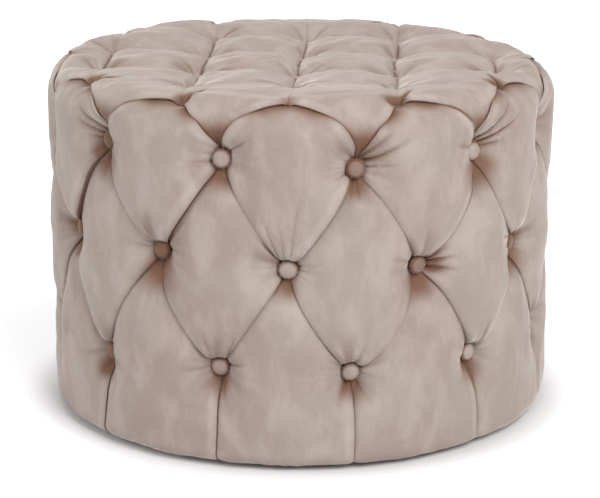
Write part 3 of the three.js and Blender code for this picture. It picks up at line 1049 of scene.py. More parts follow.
def shapeVelvet(sheet, points, depth, field, notes, hold, settled):
    # moves the sheet's points to their places round the drum, and notes the painted shade, the painted
    # highlight on the rims of laps, and the gathers round the buttons
    moved = points + (field["lean"] + swellsOver(points)) * hold[:, None]
    places = wrap(moved[:, 0] / outerRadius, moved[:, 1], depth) + settled
    # the painted shade and the painted highlight go to the velvet's finish as attributes
    paintedShadeLayer = sheet.verts.layers.float.new("paintedShade")
    paintedHighlightLayer = sheet.verts.layers.float.new("paintedHighlight")
    gatherLayer = sheet.verts.layers.float.new("gather")
    wayLayer = sheet.verts.layers.float_vector.new("fromButton")
    # painted highlight on the rims of laps, none where there is painted shade
    lit = field["paintedHighlight"] * hold * (1 - np.clip(notes["shade"], 0, 1))
    for i, vert in enumerate(sheet.verts):
        vert.co = places[i]
        vert[paintedShadeLayer] = notes["shade"][i]
        vert[paintedHighlightLayer] = lit[i]
        vert[gatherLayer] = notes["gather"][i]
        vert[wayLayer] = notes["ways"][i]


def sideDepth(flat, creases):
    # depth of the side's cover, with the parts that it is made of
    field = creaseField(flat, creases, girth)
    depth = (field["sum"] + tuftField(flat, sideTufts(), girth)) ** (1 / crease["sumPower"])
    start, full = hemEnd + tuft["hemEnds"][0], hemCentre + tuft["hemEnds"][1]
    hold = smoothStep(flat[:, 1], start, full)
    return capped(depth, tuft["depth"]) * (tuft["hemShare"] + (1 - tuft["hemShare"]) * hold), field, hold


def swollen(depth, hold=1.0):
    return depth - form["swell"] * hold * (1 - smoothStep(depth, 0.0, form["swellDepth"]))


def heldAt(depth, field, deepest):
    return (field["near"] < settling["held"]) | (depth > settling["sunk"] * deepest)


def settledSide(flat, creases):
    low, high = hemCentre, archTop + settling["past"]
    turns = np.linspace(-math.pi, math.pi, settling["columns"] + 1)
    runs = np.linspace(low, high, settling["rows"] + 1)
    grid = np.stack(np.meshgrid(turns * outerRadius, runs), axis=-1)
    points = grid.reshape(-1, 2)
    depth, field, hold = sideDepth(points, creases)
    places = wrap(points[:, 0] / outerRadius, points[:, 1], swollen(depth, hold)).reshape(*grid.shape[:2], 3)
    places[:, -1] = places[:, 0]
    held = heldAt(depth, field, tuft["depth"]).reshape(grid.shape[:2])
    held[0] = held[-1] = held[-2] = True
    moved = settle(places, held, True, settling["share"])
    turn = (flat[:, 0] / outerRadius + math.pi) % (2 * math.pi) / (2 * math.pi)
    run = flat[:, 1]
    start, full = (low + away for away in settling["footFade"])
    inside = smoothStep(run, start, full) * (1 - smoothStep(run, archTop, high))
    return sampled(moved, turn, (run - low) / (high - low)) * inside[:, None]


def closeSide(body):
    low, high = openLoops(body, lambda place: place.z < hemCentre)
    wall = form["wallRadius"]
    hemTop = hemBottom + form["hemThickness"]
    edges = extrudeLoop(body, high, lambda vert: (wall, vert.co.z))
    edges = extrudeLoop(body, edges, lambda vert: (wall, hemTop))
    edges = extrudeLoop(body, edges, lambda vert: (form["hemInner"], hemTop))
    bmesh.ops.bridge_loops(body, edges=edges + low)
    bmesh.ops.recalc_face_normals(body, faces=body.faces)


# Painted shade: darker where the velvet is drawn deep, on the side that a lap covers, round the knots, and
# along the dark lines of the creases
shading = {
    "sideDeep": (0.66, 1.05),
    "seatDeep": (0.60, 1.05),
    "under": 0.30,
    "sideKnot": 0.8,
    "sideLine": 0.9,
    "seatLine": 1.05,
}


def makeVelvetOnSide(lines, creases, flanks, velvet):
    sheet = bmesh.new()
    shares = cellShares(mesh["cell"])
    for k in range(form["columns"]):
        layUpperCell(sheet, k, lines, flanks, shares)
        layDiamond(sheet, k, lines, shares)
        layLowerCell(sheet, k, lines, shares)
    bmesh.ops.remove_doubles(sheet, verts=sheet.verts, dist=mesh["sameCell"])
    refineAlongFolds(sheet, lambda points: foldDepth(points, foldSources(), girth))
    flat = flatPoints(sheet)
    depth, field, hold = sideDepth(flat, creases)
    # painted shade: where the velvet is drawn deep, in the pockets, under laps, round the knots, under the
    # scallops, in the folds and along the crease lines
    deep = smoothStep(depth / tuft["depth"], *shading["sideDeep"])
    shade = np.maximum(deep, pocketShade(flat, False)) + shading["under"] * field["under"] * hold
    shade = np.maximum(shade, knotShade(flat) * shading["sideKnot"])
    shade = np.maximum(shade, archShade(flat, flanks))
    folded = foldDepth(flat, foldSources(), girth)
    shade = shade + folds["shade"] * folded + shading["sideLine"] * field["line"] * hold
    depth = depth + folded + waddingDepth(flat[:, 0] / outerRadius, flat[:, 1]) * hold
    buttons = [buttonPoint(row, column) for row in rowHeights for column in rowColumns(row)]
    ways, gather = fromButton(flat, buttons, girth)
    notes = {"shade": shade, "ways": ways, "gather": gather}
    shapeVelvet(sheet, flat, swollen(depth, hold), field, notes, hold, settledSide(flat, creases))
    seam = [vert for vert in sheet.verts if vert.is_boundary]
    bmesh.ops.remove_doubles(sheet, verts=seam, dist=mesh["sameSeam"])
    closeSide(sheet)
    piece = velvetPiece("side_velvet", sheet, "side_cover", velvet)
    return piece


# The seat: rings from the scallops in to the middle, on the unrolled plane of the seat

def toPlane(points):
    turn = points[:, 0] / outerRadius
    reach = unrolledEdge - (points[:, 1] - jointHeight)
    return np.column_stack([reach * np.sin(turn), -reach * np.cos(turn)])


def toSide(plane):
    # the same points by turn and by run, as the side's points are given
    reach = lengthOf(plane)
    turn = np.arctan2(plane[:, 0], -plane[:, 1])
    return np.column_stack([turn * outerRadius, jointHeight + unrolledEdge - reach])


gridLines = (-2, -1, 0, 1, 2)
seatPlan = {
    "seed": 31,
    "bow": 0.003,
    "frontFrom": -1.2,         # the front row lies further forward than this, in pitches of the grid
    "rimLine": 0.3,            # share of its darkness that a line keeps at the rim,
    "frontLine": 0.5,          # and in the front row
    "lean": (0.05, 0.15),      # radii between which the laps begin to lean
}


def gridRows(line):
    # the rows in which a line of the seat's grid has its buttons
    return (-0.5, 0.5) if abs(line) == 2 else (-1.5, -0.5, 0.5, 1.5)


def planSeat():
    creases = []
    pick = random.Random(seatPlan["seed"])
    reach = unrolledEdge - (archTop - jointHeight)
    for line in gridLines:
        x = line * gridPitch
        rim = math.sqrt(reach ** 2 - x ** 2)
        stops = [-rim, *(row * gridPitch for row in gridRows(line)), rim]
        addSeatLine(creases, [(x, y) for y in stops], pick, "seatLine")
    for row in gridRows(0):
        y = row * gridPitch
        rim = math.sqrt(reach ** 2 - y ** 2)
        stops = [-rim, *(line * gridPitch for line in gridLines if row in gridRows(line)), rim]
        addSeatLine(creases, [(x, y) for x in stops], pick, "seatRow")
    return creases


def seatShare(stop):
    return crease["frontRow"] if stop[1] < seatPlan["frontFrom"] * gridPitch else 1.0


def addSeatLine(creases, stops, pick, kind):
    deep = crease["seatDepth"]
    for i, (start, end) in enumerate(zip(stops, stops[1:])):
        atRim = i == 0 or i + 2 == len(stops)
        rim = crease["archMiddle"] if min(abs(start[0]), abs(start[1])) > tiny else crease["rimMiddle"]
        middle = crease[kind + "Middle"] * (seatShare(start) if kind == "seatRow" else 1.0)
        middle = min(rim, middle) if atRim else middle
        first = rim if i == 0 else deep * seatShare(start)
        last = rim if i + 2 == len(stops) else deep * seatShare(end)
        line = bowed(start, end, pick.uniform(-seatPlan["bow"], seatPlan["bow"]), 1, count=17)
        addCrease(creases, line, 1, kind, (first, middle, last), reach=crease["seatReach"])
        if atRim:
            creases[-1]["drawn"] *= seatPlan["rimLine"]
        elif seatShare(start) < 1:
            creases[-1]["drawn"] *= seatPlan["frontLine"]


def seatButtonPlaces():
    return [(line * gridPitch, row * gridPitch) for line in gridLines
            for row in sorted(gridRows(line), key=abs)]


def ringShares(count):
    # fine by the scallops, then even steps to the middle
    first = np.array(mesh["firstRings"]) / mesh["ringRadius"]
    rest = np.linspace(first[-1], 1.0, count - len(first) + 2)[1:]
    return np.concatenate([first, rest])


def seatBoundary(flanks, shares):
    points = []
    for k in range(form["columns"]):
        fromLeft, fromRight = (along(shiftTo(flank, k), shares) for flank in flanks[k])
        points.append(fromLeft[:-1])
        points.append(fromRight[::-1][:-1])
    return np.concatenate(points)


def seatDepth(flat, creases):
    rolled = toSide(flat)
    field = creaseField(rolled, creases, girth)
    grid = creaseField(flat, planSeat())
    seatTufts = [(x, y, tuft["seatDepth"], 0.0, 0.0) for x, y in seatButtonPlaces()]
    total = field["sum"] + grid["sum"] + tuftField(rolled, sideTufts(), girth)
    total = total + tuftField(flat, seatTufts, 0.0, tuft["seatFlat"], tuft["seatReach"])
    reach = lengthOf(flat)
    start, full = shoulderCentre - tuft["capEnds"][0], unrolledEdge - tuft["capEnds"][1]
    over = smoothStep(reach, start, full)
    cap = tuft["seatDepth"] + (tuft["depth"] - tuft["seatDepth"]) * over
    field["near"] = np.minimum(field["near"], grid["near"])
    field["line"] = np.maximum(field["line"], grid["line"])
    return capped(total ** (1 / crease["sumPower"]), cap), field


def settledSeat(flat, creases):
    half = unrolledEdge - settling["rimShort"]
    steps = np.linspace(-half, half, settling["seatColumns"] + 1)
    grid = np.stack(np.meshgrid(steps, steps), axis=-1)
    points = grid.reshape(-1, 2)
    depth, field = seatDepth(points, creases)
    rolled = toSide(points)
    places = wrap(rolled[:, 0] / outerRadius, rolled[:, 1], swollen(depth)).reshape(*grid.shape[:2], 3)
    held = heldAt(depth, field, crease["seatDepth"]) | (lengthOf(points) > half)
    moved = settle(places, held.reshape(grid.shape[:2]), False, settling["seatShare"])
    inside = 1 - smoothStep(lengthOf(flat), *(half - away for away in settling["rimFade"]))
    shares = (flat + half) / (2 * half)
    return sampled(moved, shares[:, 0], shares[:, 1]) * inside[:, None]


def makeVelvetOnSeat(flanks, creases, velvet):
    shares = cellShares(mesh["cell"])
    rings = np.concatenate([ringShares(mesh["seatRings"])[:-1], mesh["lastRings"]])
    plane = toPlane(seatBoundary(flanks, shares))
    plane = np.concatenate([plane, plane[:1]])
    sheet = bmesh.new()
    layGrid(sheet, plane[None, :, :] * (1 - rings[:, None, None]))
    bmesh.ops.remove_doubles(sheet, verts=sheet.verts, dist=mesh["sameRing"])
    drawn = [item for item in planSeat() if item["drawn"] > mesh["leastLine"]]

    def foldsAndLines(points):
        byLine = creaseField(points, drawn)["near"] < mesh["lineReach"]
        return foldDepth(toSide(points), foldSources(), girth) + byLine

    refineAlongFolds(sheet, foldsAndLines)
    flat = flatPoints(sheet)
    rolled = toSide(flat)
    depth, field = seatDepth(flat, creases)
    reach = lengthOf(flat)
    # painted shade: where the velvet is drawn deep, in the pockets above the upper buttons, under laps,
    # round the knots, in the folds and along the crease lines
    deep = smoothStep(depth / tuft["depth"], *shading["seatDeep"])
    shade = np.maximum(deep, pocketShade(rolled, True)) + shading["under"] * field["under"]
    shade = np.maximum(shade, knotShade(rolled))
    # painted shade in the dents of the seat's buttons
    for x, y in seatButtonPlaces():
        shade = np.maximum(shade, pockets["seat"] * bell(lengthOf(flat - [x, y]), pockets["seatReach"]))
    folded = foldDepth(rolled, foldSources(), girth)
    folded = folded + foldDepth(flat, [(x, y, [], True) for x, y in seatButtonPlaces()]) * folds["seat"]
    shade = shade + folds["shade"] * folded + shading["seatLine"] * field["line"]
    wadding = waddingDepth(rolled[:, 0] / outerRadius, rolled[:, 1])
    depth = depth + folded + wadding * smoothStep(reach, 0.0, waves["seat"])
    upper = [buttonPoint("upper", column) for column in rowColumns("upper")]
    ways, gather = fromButton(rolled, upper, girth)
    seatWays, seatGather = fromButton(flat, seatButtonPlaces())
    ways = np.where((gather > seatGather)[:, None], ways, seatWays)
    hold = smoothStep(reach, *seatPlan["lean"])
    notes = {"shade": shade, "ways": ways, "gather": np.maximum(gather, seatGather)}
    shapeVelvet(sheet, rolled, swollen(depth), field, notes, hold, settledSeat(flat, creases))
    closeSeat(sheet)
    piece = velvetPiece("seat_velvet", sheet, "top_cover", velvet)
    return piece


def closeSeat(body):
    # closes the middle at one point, with the shade of the line that runs through it
    inner, outer = openLoops(body, lambda place: place.xy.length < shoulderCentre / 2)
    tip = list({vert for edge in inner for vert in edge.verts})
    paintedShadeLayer = body.verts.layers.float["paintedShade"]
    shade = max(vert[paintedShadeLayer] for vert in tip)
    bmesh.ops.pointmerge(body, verts=tip, merge_co=sum((v.co for v in tip), Vector()) / len(tip))
    for vert in body.verts:
        if vert.co.xy.length < mesh["poleReach"]:
            vert[paintedShadeLayer] = shade
    wall = form["wallRadius"]
    ceiling = foamHigh.z + form["ceilingGap"]
    gap = form["seamGap"]
    edges = extrudeLoop(body, outer, lambda vert: (wall, vert.co.z + gap))
    edges = extrudeLoop(body, edges, lambda vert: (wall, ceiling))
    edges = extrudeLoop(body, edges, lambda vert: (wall / 2, ceiling))
    last = bmesh.ops.extrude_edge_only(body, edges=edges)["geom"]
    tip = [item for item in last if isinstance(item, bmesh.types.BMVert)]
    bmesh.ops.pointmerge(body, verts=tip, merge_co=Vector((0, 0, ceiling)))
    bmesh.ops.recalc_face_normals(body, faces=body.faces)


# Shader maths: a socket with operators, so that an expression adds its nodes

class Value:
    def __init__(self, finish, socket):
        self.finish = finish
        self.socket = socket

    def also(self, output):
        # another output of the same node
        return Value(self.finish, self.socket.node.outputs[output])

    def maths(self, operation, *others):
        return self.finish.node("ShaderNodeMath", {"operation": operation}, [self, *others])

    def __add__(self, other):
        return self.maths("ADD", other)

    def __radd__(self, other):
        return self.maths("ADD", other)

    def __sub__(self, other):
        return self.maths("SUBTRACT", other)

    def __rsub__(self, other):
        return self.finish.node("ShaderNodeMath", {"operation": "SUBTRACT"}, [other, self])

    def __mul__(self, other):
        return self.maths("MULTIPLY", other)

    def __rmul__(self, other):
        return self.maths("MULTIPLY", other)

    def __pow__(self, other):
        return self.maths("POWER", other)


class Finish:
    # the nodes of a material, or of the world
    def __init__(self, name, owners=bpy.data.materials):
        self.owner = owners.new(name)
        self.owner.use_nodes = True
        self.tree = self.owner.node_tree
        self.tree.nodes.clear()

    def node(self, kind, settings=None, inputs=None, output=0):
        made = self.tree.nodes.new(kind)
        for name, value in (settings or {}).items():
            setattr(made, name, value)
        items = inputs.items() if isinstance(inputs, dict) else enumerate(inputs or [])
        for key, value in items:
            socket = made.inputs[key]
            if isinstance(value, Value):
                self.tree.links.new(value.socket, socket)
            elif hasattr(value, "__len__") and len(value) == 3 and socket.type == "RGBA":
                socket.default_value = (*value, 1)
            else:
                socket.default_value = value
        return Value(self, made.outputs[output])

    def objectPlace(self, scale=(1, 1, 1)):
        place = self.node("ShaderNodeTexCoord", output="Object")
        return self.node("ShaderNodeMapping", {}, {"Vector": place, "Scale": scale})

    def noise(self, place, scale, detail=3.0, roughness=0.5, distortion=0.0):
        inputs = {"Vector": place, "Scale": scale, "Detail": detail, "Roughness": roughness,
                  "Distortion": distortion}
        return self.node("ShaderNodeTexNoise", {"noise_dimensions": "3D"}, inputs)

    def mix(self, factor, first, second, blend="MIX"):
        settings = {"data_type": "RGBA", "blend_type": blend}
        return self.node("ShaderNodeMix", settings, {0: factor, 6: first, 7: second}, output=2)

    def spread(self, value, low, high):
        inputs = {"Value": value, "From Min": low, "From Max": high}
        return self.node("ShaderNodeMapRange", {"clamp": True, "interpolation_type": "SMOOTHSTEP"}, inputs)

    def bump(self, height, distance, strength=1.0, normal=None):
        inputs = {"Height": height, "Distance": distance, "Strength": strength}
        if normal:
            inputs["Normal"] = normal
        return self.node("ShaderNodeBump", {}, inputs)

    def attribute(self, name, output="Fac"):
        return self.node("ShaderNodeAttribute", {"attribute_name": name}, output=output)

    def seenDirectly(self):
        # 1 for rays from the camera, and for those that a mirror or a clear piece sends on
        path = self.node("ShaderNodeLightPath", output="Is Camera Ray")
        other = path.also("Is Glossy Ray").maths("MAXIMUM", path.also("Is Transmission Ray"))
        return path.maths("MAXIMUM", other)

    def show(self, shader, kind="ShaderNodeOutputMaterial"):
        output = self.tree.nodes.new(kind)
        self.tree.links.new(shader.socket, output.inputs["Surface"])
        return self.owner

    def surface(self, inputs, constants=None):
        return self.show(self.node("ShaderNodeBsdfPrincipled", {}, {**(constants or {}), **inputs}))


def linear(red, green, blue):
    # the colour of a surface as it is seen, as the numbers that a shader takes
    return tuple((c / 255) ** 2.2 for c in (red, green, blue))


velvetLook = {
    "rose": linear(169, 151, 143),
    "sage": linear(172, 159, 149),
    "light": linear(203, 191, 183),
    # colours of the painted shade: brown in the pockets, darker in the creases
    "pocket": linear(118, 83, 64),
    "crease": linear(80, 54, 42),
    "patchNoise": (7.0, 2.0, 0.5, 0.5),    # scale, detail, roughness and distortion
    "napNoise": (34.0, 5.0, 0.62, 0.3),
    "pileNoise": (900.0, 2.0, 0.6),
    "napStretch": (1, 1, 0.5),
    "brushed": 0.42,           # how much lighter the brushed pile is, and the painted highlight on the rims of laps
    "rims": 0.30,
    "pockets": 0.92,           # how much of each dark colour there is at most: the painted shade in the pockets, creases and gathers, and the pile's own darker flecks
    "creases": 0.6,
    "gathers": 0.55,
    "pile": 0.08,
    "patchFrom": (0.36, 0.64),     # from which value each begins to show, and at which it is full
    "brushedFrom": (0.38, 0.70),
    "rimsFrom": (0.1, 1.0),
    "pocketsFrom": (0.05, 0.80),
    "creasesFrom": (0.78, 1.30),
    "gathersFrom": (0.52, 0.30),
    "pileFrom": (0.3, 0.7),
    "gatherBump": (0.012, 0.8),    # how high each is, and its strength
    "napBump": (0.0012, 0.35),
    "pileBump": (0.0003, 0.5),
    "roughness": 0.60,
    "sheen": 0.9,
    "sheenRoughness": 0.36,
    "sheenTint": linear(240, 230, 222),
    "specular": 0.15,
}


def velvetFinish():
    look = velvetLook
    finish = Finish("taupe velvet")
    place = finish.objectPlace()
    paintedShade = finish.attribute("paintedShade")
    paintedHighlight = finish.attribute("paintedHighlight")
    gathered, reach = radialFolds(finish)
    patches = finish.noise(place, *look["patchNoise"])
    nap = finish.noise(finish.objectPlace(look["napStretch"]), *look["napNoise"])
    pile = finish.noise(place, *look["pileNoise"])

    def share(value, name):
        return finish.spread(value, *look[name + "From"])

    colour = finish.mix(share(patches, "patch"), look["rose"], look["sage"])
    # the brushed pile is lighter at random, and the rims of laps get a painted highlight
    lit = share(nap, "brushed") * look["brushed"] + share(paintedHighlight, "rims") * look["rims"]
    colour = finish.mix(lit, colour, look["light"])
    # painted shade: brown in the pockets and in the hollows of the gathers, darker in the creases; the fine
    # pile's darker flecks are its own
    colour = finish.mix(share(paintedShade, "pockets") * look["pockets"], colour, look["pocket"])
    colour = finish.mix(share(paintedShade, "creases") * look["creases"], colour, look["crease"])
    colour = finish.mix(share(gathered, "gathers") * reach * look["gathers"], colour, look["pocket"])
    colour = finish.mix(share(pile, "pile") * look["pile"], colour, look["crease"])
    pleats = finish.bump((gathered - 0.5) * reach, *look["gatherBump"])
    normal = finish.bump(pile, *look["pileBump"], finish.bump(nap, *look["napBump"], pleats))
    inputs = {"Base Color": colour, "Roughness": look["roughness"], "Normal": normal}
    constants = {
        "Sheen Weight": look["sheen"],
        "Sheen Roughness": look["sheenRoughness"],
        "Sheen Tint": (*look["sheenTint"], 1),
        "Specular IOR Level": look["specular"],
    }
    return finish.surface(inputs, constants)


def radialFolds(finish):
    # small gathers that fan out from each button: a noise that changes only round the button
    way = finish.attribute("fromButton", "Vector")
    parts = finish.node("ShaderNodeSeparateXYZ", {}, [way])
    flat = finish.node("ShaderNodeCombineXYZ", {}, [parts, parts.also(1), 0.0])
    ahead = finish.node("ShaderNodeVectorMath", {"operation": "NORMALIZE"}, [flat])
    raised = finish.node("ShaderNodeCombineXYZ", {}, [0.0, 0.0, parts.also(2)])
    ring = finish.node("ShaderNodeVectorMath", {"operation": "MULTIPLY_ADD"},
                       {0: ahead, 1: (gathers["round"],) * 3, 2: raised})
    gathered = finish.noise(ring, *gathers["noise"])
    return gathered, finish.attribute("gather")


# Covered buttons with their twine

button = {
    "radius": 0.0108,
    "height": 0.0100,
    "rim": 0.0052,
    "back": 0.0012,
    "backShares": ((0.45, 0.50), (0.90, 0.70)),    # of the radius and the rim's height
    "twine": 0.0012,
    "twineCircle": 0.2384,
    "twineIn": 0.004,          # how far the twine goes up into a button
    "sides": 44,
    "same": 0.00002,
    "bends": 9,
    "domePowers": (0.9, 1.05),
    "gathers": 11,
    "gatherDepth": 0.0004,
    "gatherFrom": 0.75,        # shares of the radius from which the cover is gathered,
    "shadeFrom": 0.66,         # and painted with shade
    # painted shade: on a button's rim, on the side's buttons not listed, and, further down, on the seat's
    # buttons
    "rimShade": 0.6,
    "otherShades": (0.1, 0.5),
    "tilt": 0.14,
    "seed": 41,
    "seatHeight": 0.45,        # the seat's buttons are flatter, and sunk in their dents
    "seatSunk": 0.0024,
    "seatShade": 0.45,
    "seatTwineIn": 0.003,
    "beside": (0.0007, 0.0004),    # the velvet's height is taken this far from a button's middle
}


def past(share, start):
    # 0 up to the start and 1 at the full share
    return max(share - start, 0) / (1 - start)


def buttonShape(body):
    # a dome standing on +Z over a back that narrows to the twine
    radius, rim, height = button["radius"], button["rim"], button["height"]
    outPower, upPower = button["domePowers"]
    profile = [(0.0, button["back"])]
    profile += [(radius * out, rim * up) for out, up in button["backShares"]]
    for i in range(button["bends"]):
        bend = math.pi / 2 * i / button["bends"]
        up = (height - rim) * math.sin(bend) ** upPower
        profile.append((radius * math.cos(bend) ** outPower, rim + up))
    profile.append((0.0, height))
    verts = [body.verts.new((x, 0, z)) for x, z in profile]
    edges = [body.edges.new(pair) for pair in zip(verts, verts[1:])]
    bmesh.ops.spin(body, geom=verts + edges, cent=(0, 0, 0), axis=(0, 0, 1), dvec=(0, 0, 0),
                   angle=2 * math.pi, steps=button["sides"], use_merge=True, use_duplicate=False)
    bmesh.ops.remove_doubles(body, verts=body.verts, dist=button["same"])
    paintedShadeLayer = body.verts.layers.float.new("paintedShade")
    for vert in body.verts:
        reach = math.hypot(vert.co.x, vert.co.y) / radius
        wave = math.cos(button["gathers"] * math.atan2(vert.co.y, vert.co.x))
        pull = button["gatherDepth"] * wave * past(reach, button["gatherFrom"])
        vert.co.xy *= 1 - pull / radius
        # painted shade, darker towards the rim
        vert[paintedShadeLayer] = button["rimShade"] * past(reach, button["shadeFrom"])


def placed(target, source, matrix, shade):
    copy = source.copy()
    paintedShadeLayer = copy.verts.layers.float["paintedShade"]
    for vert in copy.verts:
        vert[paintedShadeLayer] += shade
    bmesh.ops.transform(copy, matrix=matrix, verts=copy.verts)
    data = bpy.data.meshes.new("part")
    copy.to_mesh(data)
    copy.free()
    target.from_mesh(data)
    bpy.data.meshes.remove(data)


def twineBetween(body, start, end):
    way = end - start
    matrix = Matrix.Translation((start + end) / 2) @ way.to_track_quat("Z", "Y").to_matrix().to_4x4()
    bmesh.ops.create_cone(body, cap_ends=True, segments=10, radius1=button["twine"], radius2=button["twine"],
                          depth=way.length, matrix=matrix)


def buttonOnSide(body, shape, row, column, pick):
    place = buttonPoint(row, column)
    turn, height = place[0] / outerRadius, place[1]
    floor = outerRadius - tuft["depth"] + form["seamGap"]
    basis = turned(turn, 1, 0).to_track_quat("Z", "Y").to_matrix().to_4x4()
    tilt = Matrix.Rotation(pick.uniform(-1, 1) * button["tilt"], 4, "X")
    tilt = tilt @ Matrix.Rotation(pick.uniform(-1, 1) * button["tilt"], 4, "Y")
    shade = buttonShades[row].get(columnOf(column), pick.uniform(*button["otherShades"]))
    placed(body, shape, Matrix.Translation(turned(turn, floor, height)) @ basis @ tilt, shade)
    inner = turned(turn, button["twineCircle"], height)
    twineBetween(body, inner, turned(turn, floor + button["twineIn"], height))
    return inner


def buttonPiece(name, body, node, velvet):
    bmesh.ops.recalc_face_normals(body, faces=body.faces)
    velvetPiece(name, body, node, velvet)


def makeButtons(velvet):
    pick = random.Random(button["seed"])
    bpy.context.view_layer.update()
    shape = bmesh.new()
    buttonShape(shape)
    count = form["columns"]
    pairs = [("column", i, [("upper", i + 0.5), ("lower", i + 0.5)]) for i in range(count)]
    pairs += [("middle", i, [("middle", 2 * i + 1), ("middle", 2 * i + 2)]) for i in range(count // 2)]
    for kind, i, spots in pairs:
        body = bmesh.new()
        ends = [buttonOnSide(body, shape, row, column, pick) for row, column in spots]
        twineBetween(body, *ends)
        buttonPiece(f"{kind}_button_pair_{i + 1}", body, f"{kind}_buttons_{i + 1}", velvet)
    for i, line in enumerate(gridLines):
        body = bmesh.new()
        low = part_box(f"seat_buttons_{i + 1}")[0].z + button["twine"]
        lower = Matrix.Diagonal((1, 1, button["seatHeight"], 1))
        feet = [Vector((line * gridPitch, row * gridPitch, low)) for row in gridRows(line)]
        for foot in feet:
            place = Vector((foot.x, foot.y, velvetUnder(foot.x, foot.y) - button["seatSunk"]))
            placed(body, shape, Matrix.Translation(place) @ lower, button["seatShade"])
            twineBetween(body, foot, place + Vector((0, 0, button["seatTwineIn"])))
        twineBetween(body, feet[0], feet[-1])
        buttonPiece(f"seat_button_row_{i + 1}", body, f"seat_buttons_{i + 1}", velvet)
    shape.free()


def velvetUnder(x, y):
    # the height of the seat's velvet beside the middle of a button
    across, ahead = button["beside"]
    seat = bpy.data.objects["seat_velvet"]
    return seat.ray_cast(Vector((x + across, y + ahead, 1)), Vector((0, 0, -1)))[1].z


# Finishes of the pieces inside and under the tuffet

grains = {
    # light and dark colour, scale of the grain, roughness, and how the grain is stretched
    "plywood": (linear(206, 178, 136), linear(170, 136, 92), 40, 0.6, (1, 0.12, 6)),
    "pine": (linear(222, 194, 146), linear(190, 150, 98), 60, 0.55, (1, 1, 0.08)),
    "hardboard": (linear(138, 106, 72), linear(110, 82, 54), 240, 0.75),
    "foam": (linear(230, 223, 198), linear(206, 196, 164), 420, 0.95),
    "black dust cloth": (linear(50, 46, 46), linear(26, 24, 25), 700, 0.9),
    "dark glide plastic": (linear(62, 58, 55), linear(44, 41, 39), 500, 0.4),
}
steelLook = {
    "light": linear(196, 196, 192),
    "dark": linear(170, 168, 162),
    "stains": (300.0, 3.0, 0.6),
    "roughness": 0.25,
    "stainRoughness": 0.2,
}
finishOf = {
    "top_board": "plywood",
    "base_board": "plywood",
    "post": "pine",
    "drum_wall": "hardboard",
    "side_foam": "foam",
    "top_foam": "foam",
    "dust_cover": "black dust cloth",
    "glide": "dark glide plastic",
    "lower_screw": "zinc-plated steel",
    "upper_screw": "zinc-plated steel",
}


def grainFinish(name, light, dark, scale, roughness, stretch=(1, 1, 1)):
    finish = Finish(name)
    place = finish.objectPlace(stretch)
    grain = finish.noise(place, scale, detail=4.0, roughness=0.6, distortion=0.8)
    fine = finish.noise(place, scale * 6, detail=2.0)
    colour = finish.mix(finish.spread(grain, low=0.35, high=0.68), light, dark)
    colour = finish.mix(finish.spread(fine, low=0.45, high=0.8) * 0.25, colour, dark)
    normal = finish.bump(fine, distance=0.0004, strength=0.4)
    rough = finish.spread(grain, low=0.3, high=0.7) * 0.12 + roughness
    return finish.surface({"Base Color": colour, "Roughness": rough, "Normal": normal})


def steelFinish(name):
    finish = Finish(name)
    stain = finish.noise(finish.objectPlace(), *steelLook["stains"])
    colour = finish.mix(stain, steelLook["light"], steelLook["dark"])
    rough = stain * steelLook["stainRoughness"] + steelLook["roughness"]
    return finish.surface({"Base Color": colour, "Roughness": rough}, {"Metallic": 1.0})


def finishFrame():
    finishes = {name: grainFinish(name, *look) for name, look in grains.items()}
    finishes["zinc-plated steel"] = steelFinish("zinc-plated steel")
    for name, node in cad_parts.items():
        finish = finishOf.get(name) or finishOf.get(name.rsplit("_", 1)[0])
        if finish:
            node.data.materials.clear()
            node.data.materials.append(finishes[finish])


# Studio: pale floor, soft lamps and the camera of the photograph

studio = {
    "aim": (0.0, 0.0, 0.172),
    "distance": 2.40,
    "pitch": 15.88,
    "turn": 2.7,
    "lens": 117.8,
    "sensor": 36.0,
    "floorSize": 12.0,
    "worldStrength": 0.385,
    "floorColour": (0.86, 0.86, 0.87),
    # painted light on the floor, as seen from the camera:
    "floorGlow": 0.44,         # round the tuffet, from and to these shares of its radius
    "glowShares": (0.93, 1.18),
    "farGlow": 0.6,            # and further out, between these radii
    "farRadii": (0.35, 1.1),
    # name, place, side in metres and power in watts
    "lamps": (
        ("key lamp", (1.4, -2.1, 2.2), 1.7, 72),
        ("fill lamp", (-2.8, -1.2, 1.3), 1.8, 29),
        ("top lamp", (-0.3, 0.9, 2.6), 1.6, 14),
    ),
}


def makeCamera():
    aim = Vector(studio["aim"])
    turn, pitch = math.radians(studio["turn"]), math.radians(studio["pitch"])
    back = Vector((math.sin(turn) * math.cos(pitch), -math.cos(turn) * math.cos(pitch), math.sin(pitch)))
    data = bpy.data.cameras.new("camera")
    data.lens = studio["lens"]
    data.sensor_width = studio["sensor"]
    camera = linked("camera", data)
    camera.location = aim + back * studio["distance"]
    camera.rotation_euler = (-back).to_track_quat("-Z", "Y").to_euler()
    scene.camera = camera


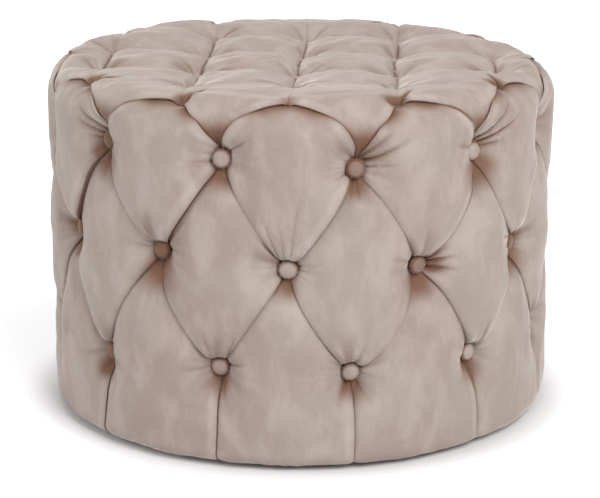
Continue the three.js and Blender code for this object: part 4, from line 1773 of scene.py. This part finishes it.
def makeLamps():
    for name, place, size, power in studio["lamps"]:
        data = bpy.data.lights.new(name, "AREA")
        data.shape = "SQUARE"
        data.size = size
        data.energy = power
        lamp = linked(name, data)
        lamp.location = place
        lamp.rotation_euler = (Vector(studio["aim"]) - Vector(place)).to_track_quat("-Z", "Y").to_euler()


def makeWorld():
    world = Finish("studio", bpy.data.worlds)
    dim = world.node("ShaderNodeBackground", {}, {"Strength": studio["worldStrength"]})
    white = world.node("ShaderNodeBackground", {}, {"Strength": 1.0})
    mixed = world.node("ShaderNodeMixShader", {}, [world.seenDirectly(), dim, white])
    scene.world = world.show(mixed, "ShaderNodeOutputWorld")


def makeFloor():
    sheet = bmesh.new()
    bmesh.ops.create_grid(sheet, x_segments=1, y_segments=1, size=studio["floorSize"] / 2)
    floor = meshObject("floor", sheet)
    finish = Finish("pale floor")
    diffuse = finish.node("ShaderNodeBsdfDiffuse", {}, {"Color": studio["floorColour"]})
    place = finish.objectPlace()
    # painted light: seen from the camera the floor glows, not at all under the tuffet and more further out,
    # so that its shadow fades into white
    away = finish.node("ShaderNodeVectorMath", {"operation": "LENGTH"}, [place], output="Value")
    beside = finish.spread(away, *(outerRadius * share for share in studio["glowShares"]))
    far = finish.spread(away, *studio["farRadii"])
    glowing = far * studio["farGlow"] + beside * studio["floorGlow"]
    glow = finish.node("ShaderNodeEmission", {}, {"Color": (1, 1, 1), "Strength": glowing})
    both = finish.node("ShaderNodeAddShader", {}, [diffuse, glow])
    mixed = finish.node("ShaderNodeMixShader", {}, [finish.seenDirectly(), diffuse, both])
    floor.data.materials.append(finish.show(mixed))


def main():
    scene.view_settings.view_transform = "Standard"
    makeCamera()
    makeLamps()
    makeWorld()
    makeFloor()
    print("studio ready")
    sideCreases, lines = planSide()
    scallops, flanks = planScallops()
    velvet = velvetFinish()
    side = makeVelvetOnSide(lines, sideCreases + scallops, flanks, velvet)
    print("side velvet", len(side.data.polygons))
    seat = makeVelvetOnSeat(flanks, scallops, velvet)
    print("seat velvet", len(seat.data.polygons))
    makeButtons(velvet)
    print("buttons ready")
    finishFrame()
    print("frame finished")


main()
